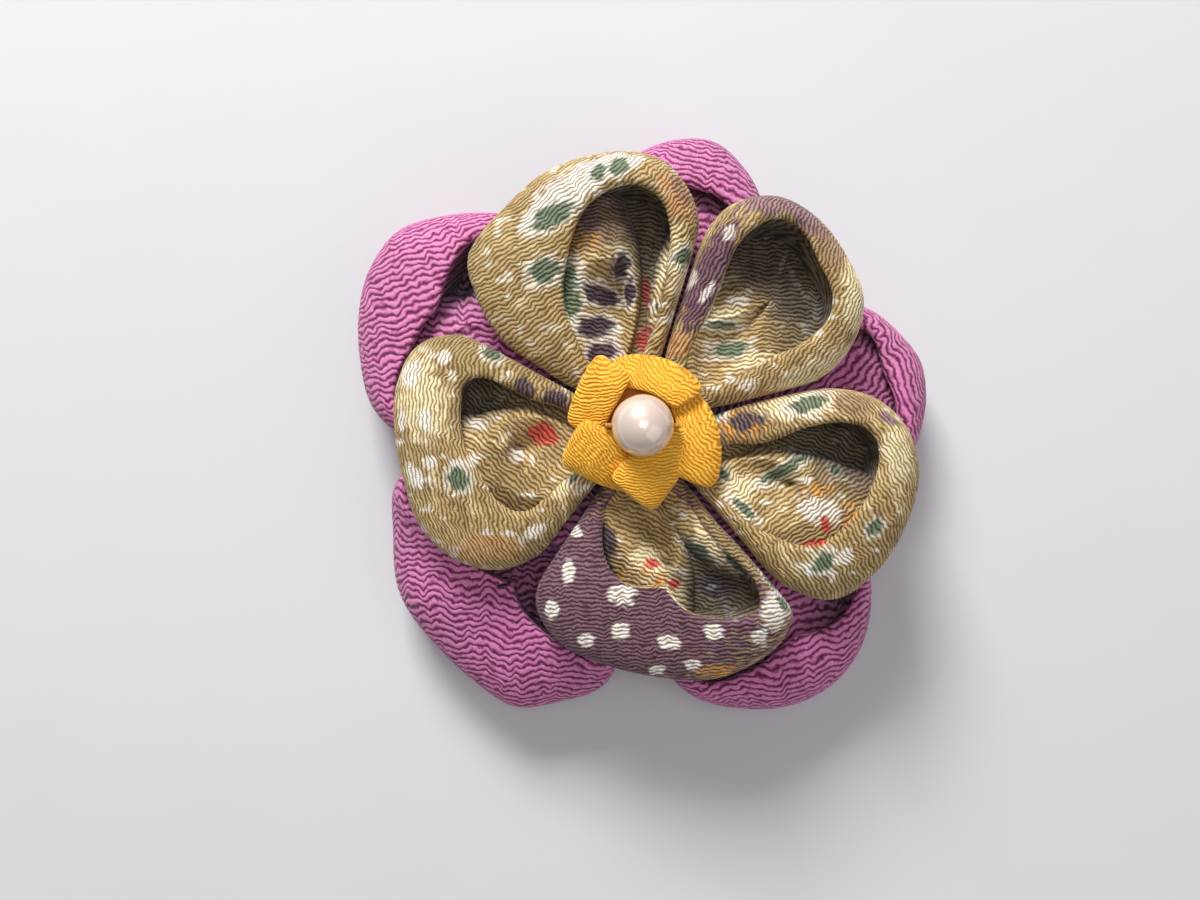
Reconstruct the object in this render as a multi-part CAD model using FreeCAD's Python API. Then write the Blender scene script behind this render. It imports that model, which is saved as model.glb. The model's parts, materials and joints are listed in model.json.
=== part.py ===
"""Flower hair clip: ten folded crepe petals round a folded ring and a bead, on a sprung metal clip.

The flower faces +Z and rests on the XY plane. The origin is the middle of its footprint, under the bead.
The metal clip lies under the flower along X, with its nose at -X and its press tail at +X.
Lengths are in millimetres and angles in degrees.
"""

import FreeCAD, Part
import math
import os
from FreeCAD import Vector

# ---- clearances
SEAT_GAP = 0.2  # soft piece to what carries it
LAYER_GAP = 0.3  # inner petals over outer petals
SIDE_GAP = 0.3  # petal to petal round the flower
PIN_PLAY = 0.05  # hinge pin in the lever's holes, radial
RIVET_PLAY = 0.02  # hinge pin in the fixed jaw's holes, radial
EAR_PLAY = 0.15  # lever cheek to fixed jaw ear
TOOTH_PLAY = 0.25  # between the two rows of teeth, when closed

# ---- metal clip
CLIP_HEIGHT = 9.0  # rest plane to the top of the fixed jaw
SHEET = 0.7  # steel sheet
JAW_WIDTH = 8.0
NOSE_X = -25.0
TAIL_X = 27.0
HINGE_X = 15.0
HINGE_DROP = 3.1  # hinge axis under the fixed jaw's plate
EAR_LENGTH = 7.0
EAR_BELOW_PIN = 1.7
PIN_RADIUS = 0.7
PIN_HEAD_RADIUS = 1.2
PIN_HEAD_THICKNESS = 0.5
MOUTH_GAP = 1.0  # between the two plates at the nose
HEEL_GAP = 5.1  # between the two plates at the hinge
TOOTH_HEIGHT = 0.8
TOOTH_PITCH = 1.8
TEETH_START_X = -20.2
TEETH_COUNT = 10
PAD_LENGTH = 5.5  # finger pad at the end of the lever's tail
PAD_RIB_COUNT = 3
PAD_RIB_RADIUS = 0.35
PAD_RIB_PITCH = 1.5
TAIL_CORNER_RADIUS = 2.0
CHEEK_LENGTH = 5.6

# ---- spring
WIRE_RADIUS = 0.3
COIL_RADIUS = 1.35  # to the middle of the wire
COIL_TURNS = 2  # whole turns, besides the part turn between the legs
COIL_PITCH = 0.72
WIRE_PLAY = 0.02  # legs to the two tails
UPPER_LEG_REACH = 5 / 8 * (TAIL_X - HINGE_X)  # from the hinge towards the tail
LOWER_LEG_REACH = 5 / 12 * (TAIL_X - HINGE_X)

# ---- backing
FELT_RADIUS = 17.0
FELT_THICKNESS = 1.5
CARD_RADIUS = 15.5
CARD_THICKNESS = 1.0
DISC_CHAMFER = 0.3
STRAP_X = 1.0  # felt strap that holds the fixed jaw against the backing
STRAP_LENGTH = 8.0
STRAP_THICKNESS = 0.8
STRAP_WING = 5.0  # glued wing on each side of the jaw

# ---- petals
TIP_RADIUS = 1.2
TIP_START = 3.7  # flower axis to the middle of a petal's tip
OUTER_TIP_THICKNESS = 1.8
OUTER_RIM_DROP = 0.5  # how far the outer rims lie under their tips
OUTER_RIM_RADIUS = 0.8
OUTER_FOOT_INSET = 4.5
INNER_TIP_THICKNESS = 1.9
INNER_RIM_RISE = 6.6  # how far the inner rims climb from tip to end
INNER_RIM_RADIUS = 1.0
INNER_FOOT_INSET = 4.5
RIM_STEP = 45  # turn between two levels of a rolled rim
POCKET_FLOOR = 2.0  # outer pockets' floor over the clip
POCKET_FLOOR_INSET = 1.2
INNER_FLOOR_SHARE = 0.24  # pocket floor, as a share of the way from the foot to the crest
BELLY_SHARE = 0.42  # widest level, likewise

# each petal: heading from the flower axis, reach to the line of its two corners, half width, radius of
# the corners, flatness of its end (0 is a half circle), skew that carries its left corner further out
# than its right one, the sector round the axis that it may fill, and the crest of its rim: an outline
# of the same kind, turned from the heading, whose tip starts further out
OUTLINE_SIZES = ("reach", "half_width", "corner", "flatness", "skew")


def crest_outline(turn, start, reach, half_width, corner, flatness, skew):
    """The crest of a rim."""
    sizes = (reach, half_width, corner, flatness, skew)
    return dict(zip(OUTLINE_SIZES, sizes), turn=turn, start=start)


OUTER_PETALS = [
    dict(
        heading=77.0, reach=27.6, half_width=10.0, corner=9.0, flatness=11.0, skew=0.4, sector=(42, 116),
        crest=crest_outline(0.5, 11.0, 24.8, 8.5, 5.1, 4.4, 0.5),
    ),
    dict(
        heading=10.5, reach=23.5, half_width=12.3, corner=11.2, flatness=4.6, skew=-1.7, sector=(-24, 42),
        crest=crest_outline(-2.9, 11.0, 24.5, 10.6, 5.3, 3.7, 0.0),
    ),
    dict(
        heading=-57.0, reach=25.7, half_width=14.7, corner=13.4, flatness=2.6, skew=1.6, sector=(-92, -24),
        crest=crest_outline(2.4, 10.7, 26.5, 12.4, 6.1, 7.0, 0.0),
    ),
    dict(
        heading=-130.0, reach=25.2, half_width=17.0, corner=11.9, flatness=20.0, skew=0.9, sector=(-171, -92),
        crest=crest_outline(-4.1, 10.9, 19.0, 15.5, 4.3, 3.0, 0.3),
    ),
    dict(
        heading=151.5, reach=24.2, half_width=14.9, corner=13.4, flatness=4.6, skew=-2.1, sector=(116, 189),
        crest=crest_outline(-0.9, 9.2, 23.1, 13.8, 4.3, 10.9, -1.4),
    ),
]
# inner petals also have lobes in their pockets: middle in plan, size, turn, and height as a share of the
# way from the floor to the end's crest
INNER_PETALS = [
    dict(
        heading=109.5, reach=20.9, half_width=14.8, corner=10.1, flatness=13.5, skew=-1.2, sector=(73, 152),
        crest=crest_outline(-10.3, 5.0, 20.0, 7.7, 6.5, 2.2, -1.9),
        lobes=[
            dict(at=(-4.9, 16.6), length=23.6, width=9.8, turn=86, top=0.76),
            dict(at=(3.1, 16.4), length=23.0, width=5.4, turn=82, top=0.64),
        ],
    ),
    dict(
        heading=44.5, reach=21.7, half_width=11.2, corner=9.0, flatness=2.1, skew=2.0, sector=(13, 73),
        crest=crest_outline(1.0, 6.6, 22.7, 7.9, 4.9, 2.0, 1.7),
    ),
    dict(
        heading=-19.5, reach=22.1, half_width=12.7, corner=11.4, flatness=11.0, skew=0.0, sector=(-50, 13),
        crest=crest_outline(1.9, 6.5, 20.0, 8.1, 3.9, 0.2, 2.8),
        lobes=[
            dict(at=(17.6, -9.4), length=23.2, width=12.8, turn=-6, top=0.74),
        ],
    ),
    dict(
        heading=-84.5, reach=20.6, half_width=14.6, corner=8.8, flatness=29.0, skew=2.1, sector=(-124, -50),
        crest=crest_outline(12.5, 8.0, 15.5, 9.0, 4.9, 12.2, 5.4),
        lobes=[
            dict(at=(0.4, -13.6), length=19.2, width=9.4, turn=-62, top=0.6),
            dict(at=(7.8, -13.4), length=17.2, width=6.8, turn=-52, top=0.55),
        ],
    ),
    dict(
        heading=-172.0, reach=19.3, half_width=14.4, corner=9.1, flatness=21.0, skew=-0.4, sector=(152, 236),
        crest=crest_outline(-0.3, 5.9, 16.2, 9.0, 3.6, 8.7, -1.6),
        lobes=[
            dict(at=(-14.2, -4.0), length=17.2, width=12.0, turn=-14, top=0.72),
        ],
    ),
]

# ---- centre
BEAD_RADIUS = 3.6
BEAD_BORE_RADIUS = 0.45
THREAD_RADIUS = 0.3
THREAD_PLAY = 0.15
PAD_RADIUS = 7.4  # felt pad under the folds and the bead
PAD_THICKNESS = 1.2
FOLD_THICKNESS = 2.1
FOLD_PITCH = 19.0  # one end of each fold lies on the next fold
# each fold: heading and reach to its middle, turn from square to its heading, length and width
CENTRE_FOLDS = [
    dict(heading=140.0, reach=6.9, turn=22.0, length=12.0, width=5.2),
    dict(heading=74.0, reach=6.8, turn=14.0, length=12.6, width=5.0),
    dict(heading=1.0, reach=6.8, turn=14.0, length=12.4, width=5.0),
    dict(heading=-68.0, reach=6.9, turn=20.0, length=12.6, width=5.6),
    dict(heading=-142.0, reach=6.9, turn=24.0, length=13.0, width=5.8),
]
TIE_INNER_RADIUS = 1.4
TIE_THICKNESS = 0.5
TIE_HEIGHT = 0.9

# ---- levels worked out from the sizes above
PLATE_UNDER = CLIP_HEIGHT - SHEET
HINGE_Z = PLATE_UNDER - HINGE_DROP
FELT_TOP = CLIP_HEIGHT + FELT_THICKNESS
CARD_TOP = FELT_TOP + CARD_THICKNESS
OUTER_TIP_BOTTOM = CARD_TOP + SEAT_GAP
OUTER_TIP_TOP = OUTER_TIP_BOTTOM + OUTER_TIP_THICKNESS
OUTER_RIM_TOP = OUTER_TIP_TOP - OUTER_RIM_DROP
INNER_TIP_BOTTOM = OUTER_TIP_TOP + LAYER_GAP
INNER_FOOT = OUTER_RIM_TOP + LAYER_GAP
INNER_TIP_TOP = INNER_TIP_BOTTOM + INNER_TIP_THICKNESS
INNER_RIM_TOP = INNER_TIP_TOP + INNER_RIM_RISE
OUTER_FLOOR_SHARE = (CLIP_HEIGHT + SEAT_GAP + POCKET_FLOOR) / OUTER_RIM_TOP
UP = Vector(0, 0, 1)
FAR = 60.0  # beyond every piece


def save(name, shape):
    """Writes one named piece, in one solid or several."""
    shape = shape.removeSplitter()
    print(name, "solids", len(shape.Solids), "valid", shape.isValid(), "volume", round(shape.Volume, 2))
    shape.exportStep("parts/" + name + ".step")


def polar(radius, angle, z=0.0):
    """A point at a radius and angle round the flower axis."""
    turn = math.radians(angle)
    return Vector(radius * math.cos(turn), radius * math.sin(turn), z)


def turned(shape, angle, centre=Vector(0, 0, 0), axis=UP):
    """A copy of the shape turned about an axis."""
    copy = shape.copy()
    copy.rotate(centre, axis, angle)
    return copy


def block(x_low, x_high, y_low, y_high, z_low, z_high):
    """A box between two corners."""
    corner = Vector(x_low, y_low, z_low)
    return Part.makeBox(x_high - x_low, y_high - y_low, z_high - z_low, corner)


def prism(points, depth):
    """A closed outline of points swept along a vector."""
    outline = Part.makePolygon(points + [points[0]])
    return Part.Face(outline).extrude(depth)


def chamfered_disc(radius, thickness, z):
    """A flat disc with its two edges eased."""
    disc = Part.makeCylinder(radius, thickness, Vector(0, 0, z))
    rims = [edge for edge in disc.Edges if edge.Closed]
    return disc.makeChamfer(DISC_CHAMFER, rims)


# ---- petals


class Teardrop:
    """A plan outline with a small tip, two sides, two corners and a flatter end."""

    def __init__(self, form):
        self.form = form
        spread = form["half_width"] - form["corner"]
        self.corners = {}
        for side in (1, -1):
            self.corners[side] = Vector(form["reach"] + side * form["skew"], side * spread, 0)
        outward = Vector(spread, -form["skew"], 0).normalize()
        self.end_middle = Vector(form["reach"], 0, 0) - outward * form["flatness"]
        self.end_radius = form["corner"] + (self.corners[1] - self.end_middle).Length
        self.side_angle, self.end_angle = {}, {}
        for side, corner in self.corners.items():
            way = corner - Vector(form["start"], 0, 0)
            slant = math.asin((form["corner"] - TIP_RADIUS) / way.Length)
            self.side_angle[side] = math.atan2(way.y, way.x) + side * (math.pi / 2 + slant)
            bulge = corner - self.end_middle
            self.end_angle[side] = math.atan2(bulge.y, bulge.x)
        half_turn = (self.side_angle[1] - self.side_angle[-1]) / 2
        bisector = (self.side_angle[1] + self.side_angle[-1]) / 2
        self.tip_shift = Vector(math.cos(bisector), math.sin(bisector), 0) / -math.cos(half_turn)

    def end_reach(self):
        """Distance from the flower axis to the middle of the end."""
        return self.end_middle.x + self.end_radius

    def arc(self, middle, radius, start, end, height):
        """An arc between two directions in radians, at heights given by the distance along the heading."""
        turn = math.radians(self.form["turn"])
        points = []
        for angle in (start, (start + end) / 2, end):
            spot = middle + Vector(radius * math.cos(angle), radius * math.sin(angle), 0)
            along = spot.x * math.cos(turn) - spot.y * math.sin(turn)
            points.append(Vector(along, spot.x * math.sin(turn) + spot.y * math.cos(turn), height(along)))
        return Part.Arc(*points).toShape()

    def wire(self, inset, height):
        """The outline drawn in by an inset, at heights given by the distance along the heading."""
        corner_radius = self.form["corner"] - inset
        tip = Vector(self.form["start"], 0, 0) + self.tip_shift * inset
        side_angle, end_angle = self.side_angle, self.end_angle
        around_tip = self.arc(tip, TIP_RADIUS, side_angle[1], side_angle[-1] + 2 * math.pi, height)
        right = self.arc(self.corners[-1], corner_radius, side_angle[-1], end_angle[-1], height)
        end = self.arc(self.end_middle, self.end_radius - inset, end_angle[-1], end_angle[1], height)
        left = self.arc(self.corners[1], corner_radius, end_angle[1], side_angle[1], height)
        right_side = Part.makeLine(around_tip.lastVertex().Point, right.firstVertex().Point)
        left_side = Part.makeLine(left.lastVertex().Point, around_tip.firstVertex().Point)
        return Part.Wire([around_tip, right_side, right, end, left, left_side])


class Petal:
    """One folded petal: a cup lofted up its outside, over its rolled rim and down its pocket."""

    def __init__(self, shape, tip_heights, end_heights, rim_radius, foot_inset, floor_share):
        self.shape = shape
        self.tip_heights = tip_heights
        self.end_heights = end_heights
        self.rim_radius = rim_radius
        self.foot_inset = foot_inset
        self.floor_share = floor_share
        self.widest = {"turn": 0.0, "start": TIP_START}
        self.widest.update({size: shape[size] for size in OUTLINE_SIZES})
        self.foot_reach = Teardrop(self.widest).end_reach() - foot_inset

    def height(self, along, share):
        """Height at a distance along the heading, at a share of the way from the foot to the crest."""
        run = (along - TIP_START) / (self.foot_reach - TIP_START)
        foot = self.tip_heights[0] + run * (self.end_heights[0] - self.tip_heights[0])
        rim = self.tip_heights[1] + run * (self.end_heights[1] - self.tip_heights[1])
        return foot + share * (rim - foot)

    def level(self, out, inset, share):
        """One outline: out is 0 on the crest and 1 on the widest line."""
        crest = self.shape["crest"]
        form = {size: crest[size] + out * (self.widest[size] - crest[size]) for size in self.widest}
        return Teardrop(form).wire(inset, lambda along: self.height(along, share))

    def levels(self):
        """Outlines up the outside, over the crest and down to the pocket floor."""
        tall = self.end_heights[1] - self.end_heights[0]
        found = [
            self.level(1, self.foot_inset, 0.0),
            self.level(1, 0.3 * self.foot_inset, 0.4 * BELLY_SHARE),
            self.level(1, 0.0, BELLY_SHARE),
        ]
        for turn in range(RIM_STEP, 91, RIM_STEP):
            angle = math.radians(turn)
            found.append(self.level(math.cos(angle), 0.0, BELLY_SHARE + (1 - BELLY_SHARE) * math.sin(angle)))
        for turn in range(RIM_STEP, 91, RIM_STEP):
            angle = math.radians(turn)
            drop = self.rim_radius * (1 - math.cos(angle)) / tall
            found.append(self.level(0, self.rim_radius * math.sin(angle), 1 - drop))
        found.append(self.level(0, self.rim_radius + POCKET_FLOOR_INSET, self.floor_share))
        return found

    def lobe(self, swell):
        """One rounded lobe of the pocket's lining, held inside the crest."""
        base = self.height(TIP_START, self.floor_share)
        scale = FreeCAD.Matrix()
        scale.scale(swell["length"] / 2, swell["width"] / 2, swell["top"] * (self.end_heights[1] - base))
        dome = turned(Part.makeSphere(1.0).transformGeometry(scale), swell["turn"])
        dome.translate(Vector(*swell["at"], base))
        inside = Teardrop(self.shape["crest"]).wire(self.rim_radius, lambda along: base)
        room = Part.Face(inside).extrude(Vector(0, 0, FAR))
        return dome.common(turned(room, self.shape["heading"]))

    def solid(self):
        """The cup and its lobes, trimmed to their sector where the neighbours press on them."""
        cup = turned(Part.makeLoft(self.levels(), True, True), self.shape["heading"])
        for swell in self.shape.get("lobes", []):
            cup = cup.fuse(self.lobe(swell))
        return cup.common(sector_block(*self.shape["sector"]))


def sector_block(start, end):
    """A tall wedge round the flower axis, held back from both its sides by half the side gap."""
    half = math.radians(end - start) / 2
    apex = polar(SIDE_GAP / 2 / math.sin(half), (start + end) / 2, -FAR)
    corners = [apex]
    for angle in (start, (start + end) / 2, end):
        corners.append(apex + polar(2 * FAR, angle))
    return prism(corners, Vector(0, 0, 2 * FAR))


def clip_channel():
    """The space under the flower that the clip and its swinging tail need."""
    swing = math.hypot(TAIL_X - HINGE_X, HINGE_Z)
    side = JAW_WIDTH / 2 + PIN_HEAD_THICKNESS + 2 * SIDE_GAP
    end = HINGE_X + swing + SIDE_GAP
    return block(NOSE_X - SIDE_GAP, end, -side, side, -SEAT_GAP, CLIP_HEIGHT + SEAT_GAP)


def outer_forms():
    """Five plain petals that hang over the edge of the backing."""
    tip, end = (OUTER_TIP_BOTTOM, OUTER_TIP_TOP), (0.0, OUTER_RIM_TOP)
    rim = (OUTER_RIM_RADIUS, OUTER_FOOT_INSET, OUTER_FLOOR_SHARE)
    return [Petal(shape, tip, end, *rim) for shape in OUTER_PETALS]


def inner_forms():
    """Five printed petals that stand on the outer ones and climb towards their ends."""
    tip, end = (INNER_TIP_BOTTOM, INNER_TIP_TOP), (INNER_FOOT, INNER_RIM_TOP)
    rim = (INNER_RIM_RADIUS, INNER_FOOT_INSET, INNER_FLOOR_SHARE)
    return [Petal(shape, tip, end, *rim) for shape in INNER_PETALS]


def petals():
    """All ten petals; the outer ones keep clear of the backing and the clip."""
    backing_space = Part.makeCylinder(FELT_RADIUS + SEAT_GAP, OUTER_TIP_BOTTOM)
    for number, form in enumerate(outer_forms(), 1):
        save(f"outer_petal_{number}", form.solid().cut(backing_space).cut(clip_channel()))
    for number, form in enumerate(inner_forms(), 1):
        save(f"inner_petal_{number}", form.solid())


# ---- centre


def pad_bottom():
    """Height of the centre pad's underside, on the highest of the inner rims that it covers."""
    return max(form.height(PAD_RADIUS, 1.0) for form in inner_forms()) + SEAT_GAP


def pad_top():
    """Height of the centre pad's upper face."""
    return pad_bottom() + PAD_THICKNESS


def centre_pad():
    """A felt pad on the inner petals' rims, which carries the folds and the bead."""
    hole = Part.makeCylinder(THREAD_RADIUS + THREAD_PLAY, PAD_THICKNESS, Vector(0, 0, pad_bottom()))
    save("centre_pad", chamfered_disc(PAD_RADIUS, PAD_THICKNESS, pad_bottom()).cut(hole))


def folded_length(length, width):
    """One flat folded length of crepe, plump in the middle and thin at both ends, lying along X."""
    sections = []
    for place, size in ((-1.0, 0.45), (-0.75, 0.85), (-0.3, 1.0), (0.3, 1.0), (0.75, 0.85), (1.0, 0.45)):
        major = width / 2 * (0.5 + 0.5 * size)
        minor = FOLD_THICKNESS / 2 * size
        wire = Part.Wire([Part.Ellipse(Vector(0, 0, 0), major, minor).toShape()])
        wire.rotate(Vector(0, 0, 0), Vector(1, 0, 0), 90)
        wire.rotate(Vector(0, 0, 0), UP, 90)
        wire.translate(Vector(place * length / 2, 0, 0))
        sections.append(wire)
    return Part.makeLoft(sections, True, True)


def centre_folds():
    """Five folded lengths round the bead, each with one end over the next."""
    pitch = math.radians(FOLD_PITCH)
    for number, shape in enumerate(CENTRE_FOLDS, 1):
        fold = turned(folded_length(shape["length"], shape["width"]), -FOLD_PITCH, axis=Vector(0, 1, 0))
        low = shape["length"] / 2 * math.sin(pitch) + FOLD_THICKNESS / 4
        fold = turned(fold, shape["turn"] - 90 + shape["heading"])
        fold.translate(polar(shape["reach"], shape["heading"], pad_top() + low))
        save(f"centre_fold_{number}", fold)


def bead_height():
    """Height of the bead's middle, which leaves room for its thread under it."""
    return pad_top() + THREAD_PLAY + 2 * THREAD_RADIUS + THREAD_PLAY + BEAD_RADIUS


def pearl_bead():
    """A round bead bored through along X for its thread."""
    middle = Vector(0, 0, bead_height())
    bead = Part.makeSphere(BEAD_RADIUS, middle)
    bore_start = middle - Vector(2 * BEAD_RADIUS, 0, 0)
    bore = Part.makeCylinder(BEAD_BORE_RADIUS, 4 * BEAD_RADIUS, bore_start, Vector(1, 0, 0))
    save("pearl_bead", bead.cut(bore))


def bead_thread():
    """The thread through the bead: across its bore, round under it and down to the card."""
    ring_radius = BEAD_RADIUS + THREAD_RADIUS + THREAD_PLAY
    middle = Vector(0, 0, bead_height())
    half = ring_radius + THREAD_RADIUS
    across = Part.makeCylinder(THREAD_RADIUS, 2 * half, middle - Vector(half, 0, 0), Vector(1, 0, 0))
    section = Part.Face(Part.Wire([Part.makeCircle(THREAD_RADIUS, middle + Vector(ring_radius, 0, 0), UP)]))
    under = section.revolve(middle, Vector(0, 1, 0), 180)
    stem_top = middle.z - ring_radius
    stem = Part.makeCylinder(THREAD_RADIUS, stem_top - FELT_TOP, Vector(0, 0, FELT_TOP))
    save("bead_thread", across.multiFuse([under, stem]))


def tie_thread(name, z):
    """Several turns of thread drawn tight inside a ring of petal tips."""
    outer = Part.makeCylinder(TIE_INNER_RADIUS + TIE_THICKNESS, TIE_HEIGHT, Vector(0, 0, z))
    inner = Part.makeCylinder(TIE_INNER_RADIUS, TIE_HEIGHT, Vector(0, 0, z))
    save(name, outer.cut(inner))


# ---- backing


def backing():
    """The card that the petals are glued to, the felt behind it and the felt strip over the fixed jaw."""
    hole = Part.makeCylinder(THREAD_RADIUS + THREAD_PLAY, CARD_THICKNESS, Vector(0, 0, FELT_TOP))
    save("base_card", chamfered_disc(CARD_RADIUS, CARD_THICKNESS, FELT_TOP).cut(hole))
    save("backing_felt", chamfered_disc(FELT_RADIUS, FELT_THICKNESS, CLIP_HEIGHT))


def clip_strap():
    """A felt strap that passes under the fixed jaw and is glued to the backing on both sides of it."""
    inside = JAW_WIDTH / 2 + SEAT_GAP / 2
    outside = inside + STRAP_THICKNESS
    wing = outside + STRAP_WING
    low, high = PLATE_UNDER - STRAP_THICKNESS, CLIP_HEIGHT - STRAP_THICKNESS
    half = [(0, low), (outside, low), (outside, high), (wing, high)]
    half += [(wing, CLIP_HEIGHT), (inside, CLIP_HEIGHT), (inside, PLATE_UNDER), (0, PLATE_UNDER)]
    for side in (1, -1):
        outline = [Vector(STRAP_X, side * y, z) for y, z in half]
        strap_half = prism(outline, Vector(STRAP_LENGTH, 0, 0))
        strap = strap_half if side == 1 else strap.fuse(strap_half)
    save("clip_strap", strap)


# ---- clip


def lever_plate_top(x):
    """Height of the lever plate's upper face between the nose and the hinge."""
    share = (x - NOSE_X) / (HINGE_X - NOSE_X)
    return PLATE_UNDER - MOUTH_GAP - share * (HEEL_GAP - MOUTH_GAP)


def bite_line(x):
    """Height midway between the two plates, where the teeth meet."""
    return (PLATE_UNDER + lever_plate_top(x)) / 2


def blade_outline(z):
    """The flat outline of a jaw seen from above, with a round nose and eased tail corners."""
    half = JAW_WIDTH / 2
    round_x = NOSE_X + half
    corner = TAIL_CORNER_RADIUS
    bend = corner * (1 - math.sqrt(0.5))
    points = [
        Vector(round_x, half, z),
        Vector(TAIL_X - corner, half, z),
        Vector(TAIL_X, half - corner, z),
        Vector(TAIL_X, corner - half, z),
        Vector(TAIL_X - corner, -half, z),
        Vector(round_x, -half, z),
    ]
    edges = [
        Part.LineSegment(points[0], points[1]),
        Part.Arc(points[1], Vector(TAIL_X - bend, half - bend, z), points[2]),
        Part.LineSegment(points[2], points[3]),
        Part.Arc(points[3], Vector(TAIL_X - bend, bend - half, z), points[4]),
        Part.LineSegment(points[4], points[5]),
        Part.Arc(points[5], Vector(NOSE_X, 0, z), points[0]),
    ]
    return Part.Wire([edge.toShape() for edge in edges])


def tooth_row(offset, base_height):
    """Two saw-tooth walls, one on each side, from the bite line to the height that base_height(x) gives."""
    edge = []
    for number in range(TEETH_COUNT):
        x = TEETH_START_X + number * TOOTH_PITCH
        middle = x + TOOTH_PITCH / 2
        edge.append(Vector(x, 0, bite_line(x) - TOOTH_HEIGHT / 2 + offset))
        edge.append(Vector(middle, 0, bite_line(middle) + TOOTH_HEIGHT / 2 + offset))
    end = TEETH_START_X + TEETH_COUNT * TOOTH_PITCH
    edge.append(Vector(end, 0, bite_line(end) - TOOTH_HEIGHT / 2 + offset))
    points = edge + [Vector(end, 0, base_height(end)), Vector(TEETH_START_X, 0, base_height(TEETH_START_X))]
    walls = []
    for side in (-JAW_WIDTH / 2, JAW_WIDTH / 2 - SHEET):
        wall = prism(points, Vector(0, SHEET, 0))
        wall.translate(Vector(0, side, 0))
        walls.append(wall)
    return walls


def ear(outer_y, length, top, below):
    """One upright hinge plate with a round foot about the hinge axis; its outer face is at outer_y."""
    inner_y = outer_y - math.copysign(SHEET, outer_y)
    low_y = min(outer_y, inner_y)
    plate = block(HINGE_X - length / 2, HINGE_X + length / 2, low_y, low_y + SHEET, HINGE_Z, top)
    foot = Part.makeCylinder(below, SHEET, Vector(HINGE_X, low_y, HINGE_Z), Vector(0, 1, 0))
    return plate.fuse(foot)


def hinge_hole(radius):
    """A bore along the hinge axis, right across the clip."""
    return Part.makeCylinder(radius, 2 * JAW_WIDTH, Vector(HINGE_X, -JAW_WIDTH, HINGE_Z), Vector(0, 1, 0))


def fixed_jaw():
    """The upper jaw: a flat blade with toothed cheeks in front and two ears for the hinge."""
    blade = Part.Face(blade_outline(PLATE_UNDER)).extrude(Vector(0, 0, SHEET))
    walls = tooth_row(TOOTH_PLAY / 2, lambda x: PLATE_UNDER + SHEET / 2)
    ears = [ear(side * JAW_WIDTH / 2, EAR_LENGTH, PLATE_UNDER + SHEET / 2, EAR_BELOW_PIN) for side in (-1, 1)]
    save("clip_fixed_jaw", blade.multiFuse(walls + ears).cut(hinge_hole(PIN_RADIUS + RIVET_PLAY)))


def tail_slope():
    """Slope of the lever's tail between the hinge and the finger pad, in radians."""
    return math.atan2(lever_plate_top(HINGE_X) - SHEET, TAIL_X - PAD_LENGTH - HINGE_X)


def tail_top(x):
    """Height of the upper face of the lever's sloping tail."""
    return lever_plate_top(HINGE_X) - (x - HINGE_X) * math.tan(tail_slope())


def lever_profile(depth):
    """The lever's bent sheet seen from the side: blade, heel, sloping tail and level finger pad."""
    nose, heel = lever_plate_top(NOSE_X), lever_plate_top(HINGE_X)
    pad_x = TAIL_X - PAD_LENGTH
    top = [
        Vector(NOSE_X, 0, nose),
        Vector(HINGE_X, 0, heel),
        Vector(pad_x, 0, SHEET),
        Vector(TAIL_X, 0, SHEET),
    ]
    under = [
        Vector(TAIL_X, 0, 0),
        Vector(pad_x - SHEET / 4, 0, 0),
        Vector(HINGE_X - SHEET / 4, 0, heel - SHEET),
        Vector(NOSE_X, 0, nose - SHEET),
    ]
    sheet = prism(top + under, Vector(0, depth, 0))
    sheet.translate(Vector(0, -depth / 2, 0))
    return sheet


def lever_jaw():
    """The lower jaw: a bent lever with toothed cheeks in front, and two cheeks on the pin inside the ears."""
    tall = Part.Face(blade_outline(-FAR)).extrude(Vector(0, 0, 2 * FAR))
    sheet = lever_profile(JAW_WIDTH).common(tall)
    waist_half = JAW_WIDTH / 2 - SHEET - EAR_PLAY
    waist_reach = EAR_LENGTH / 2 + EAR_PLAY
    for side in (-1, 1):
        low, high = sorted((side * waist_half, side * JAW_WIDTH))
        sheet = sheet.cut(block(HINGE_X - waist_reach, HINGE_X + waist_reach, low, high, -FAR, FAR))
    walls = tooth_row(-TOOTH_PLAY / 2, lambda x: lever_plate_top(x) - SHEET / 2)
    cheeks = []
    for side in (-1, 1):
        outer_y = side * waist_half
        low_y = min(outer_y, outer_y - side * SHEET)
        foot_z = lever_plate_top(HINGE_X) - SHEET
        foot = block(HINGE_X - CHEEK_LENGTH / 2, HINGE_X, low_y, low_y + SHEET, foot_z + SHEET / 2, HINGE_Z)
        crown = Part.makeCylinder(EAR_BELOW_PIN, SHEET, Vector(HINGE_X, low_y, HINGE_Z), Vector(0, 1, 0))
        cheeks.append(foot.fuse(crown))
    ribs = []
    for number in range(PAD_RIB_COUNT):
        x = TAIL_X - PAD_LENGTH / 2 + (number - (PAD_RIB_COUNT - 1) / 2) * PAD_RIB_PITCH
        length = JAW_WIDTH - 2 * TAIL_CORNER_RADIUS
        ribs.append(Part.makeCylinder(PAD_RIB_RADIUS, length, Vector(x, -length / 2, SHEET), Vector(0, 1, 0)))
    lever = sheet.multiFuse(walls + cheeks + ribs)
    save("clip_lever_jaw", lever.cut(hinge_hole(PIN_RADIUS + PIN_PLAY)))


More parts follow.
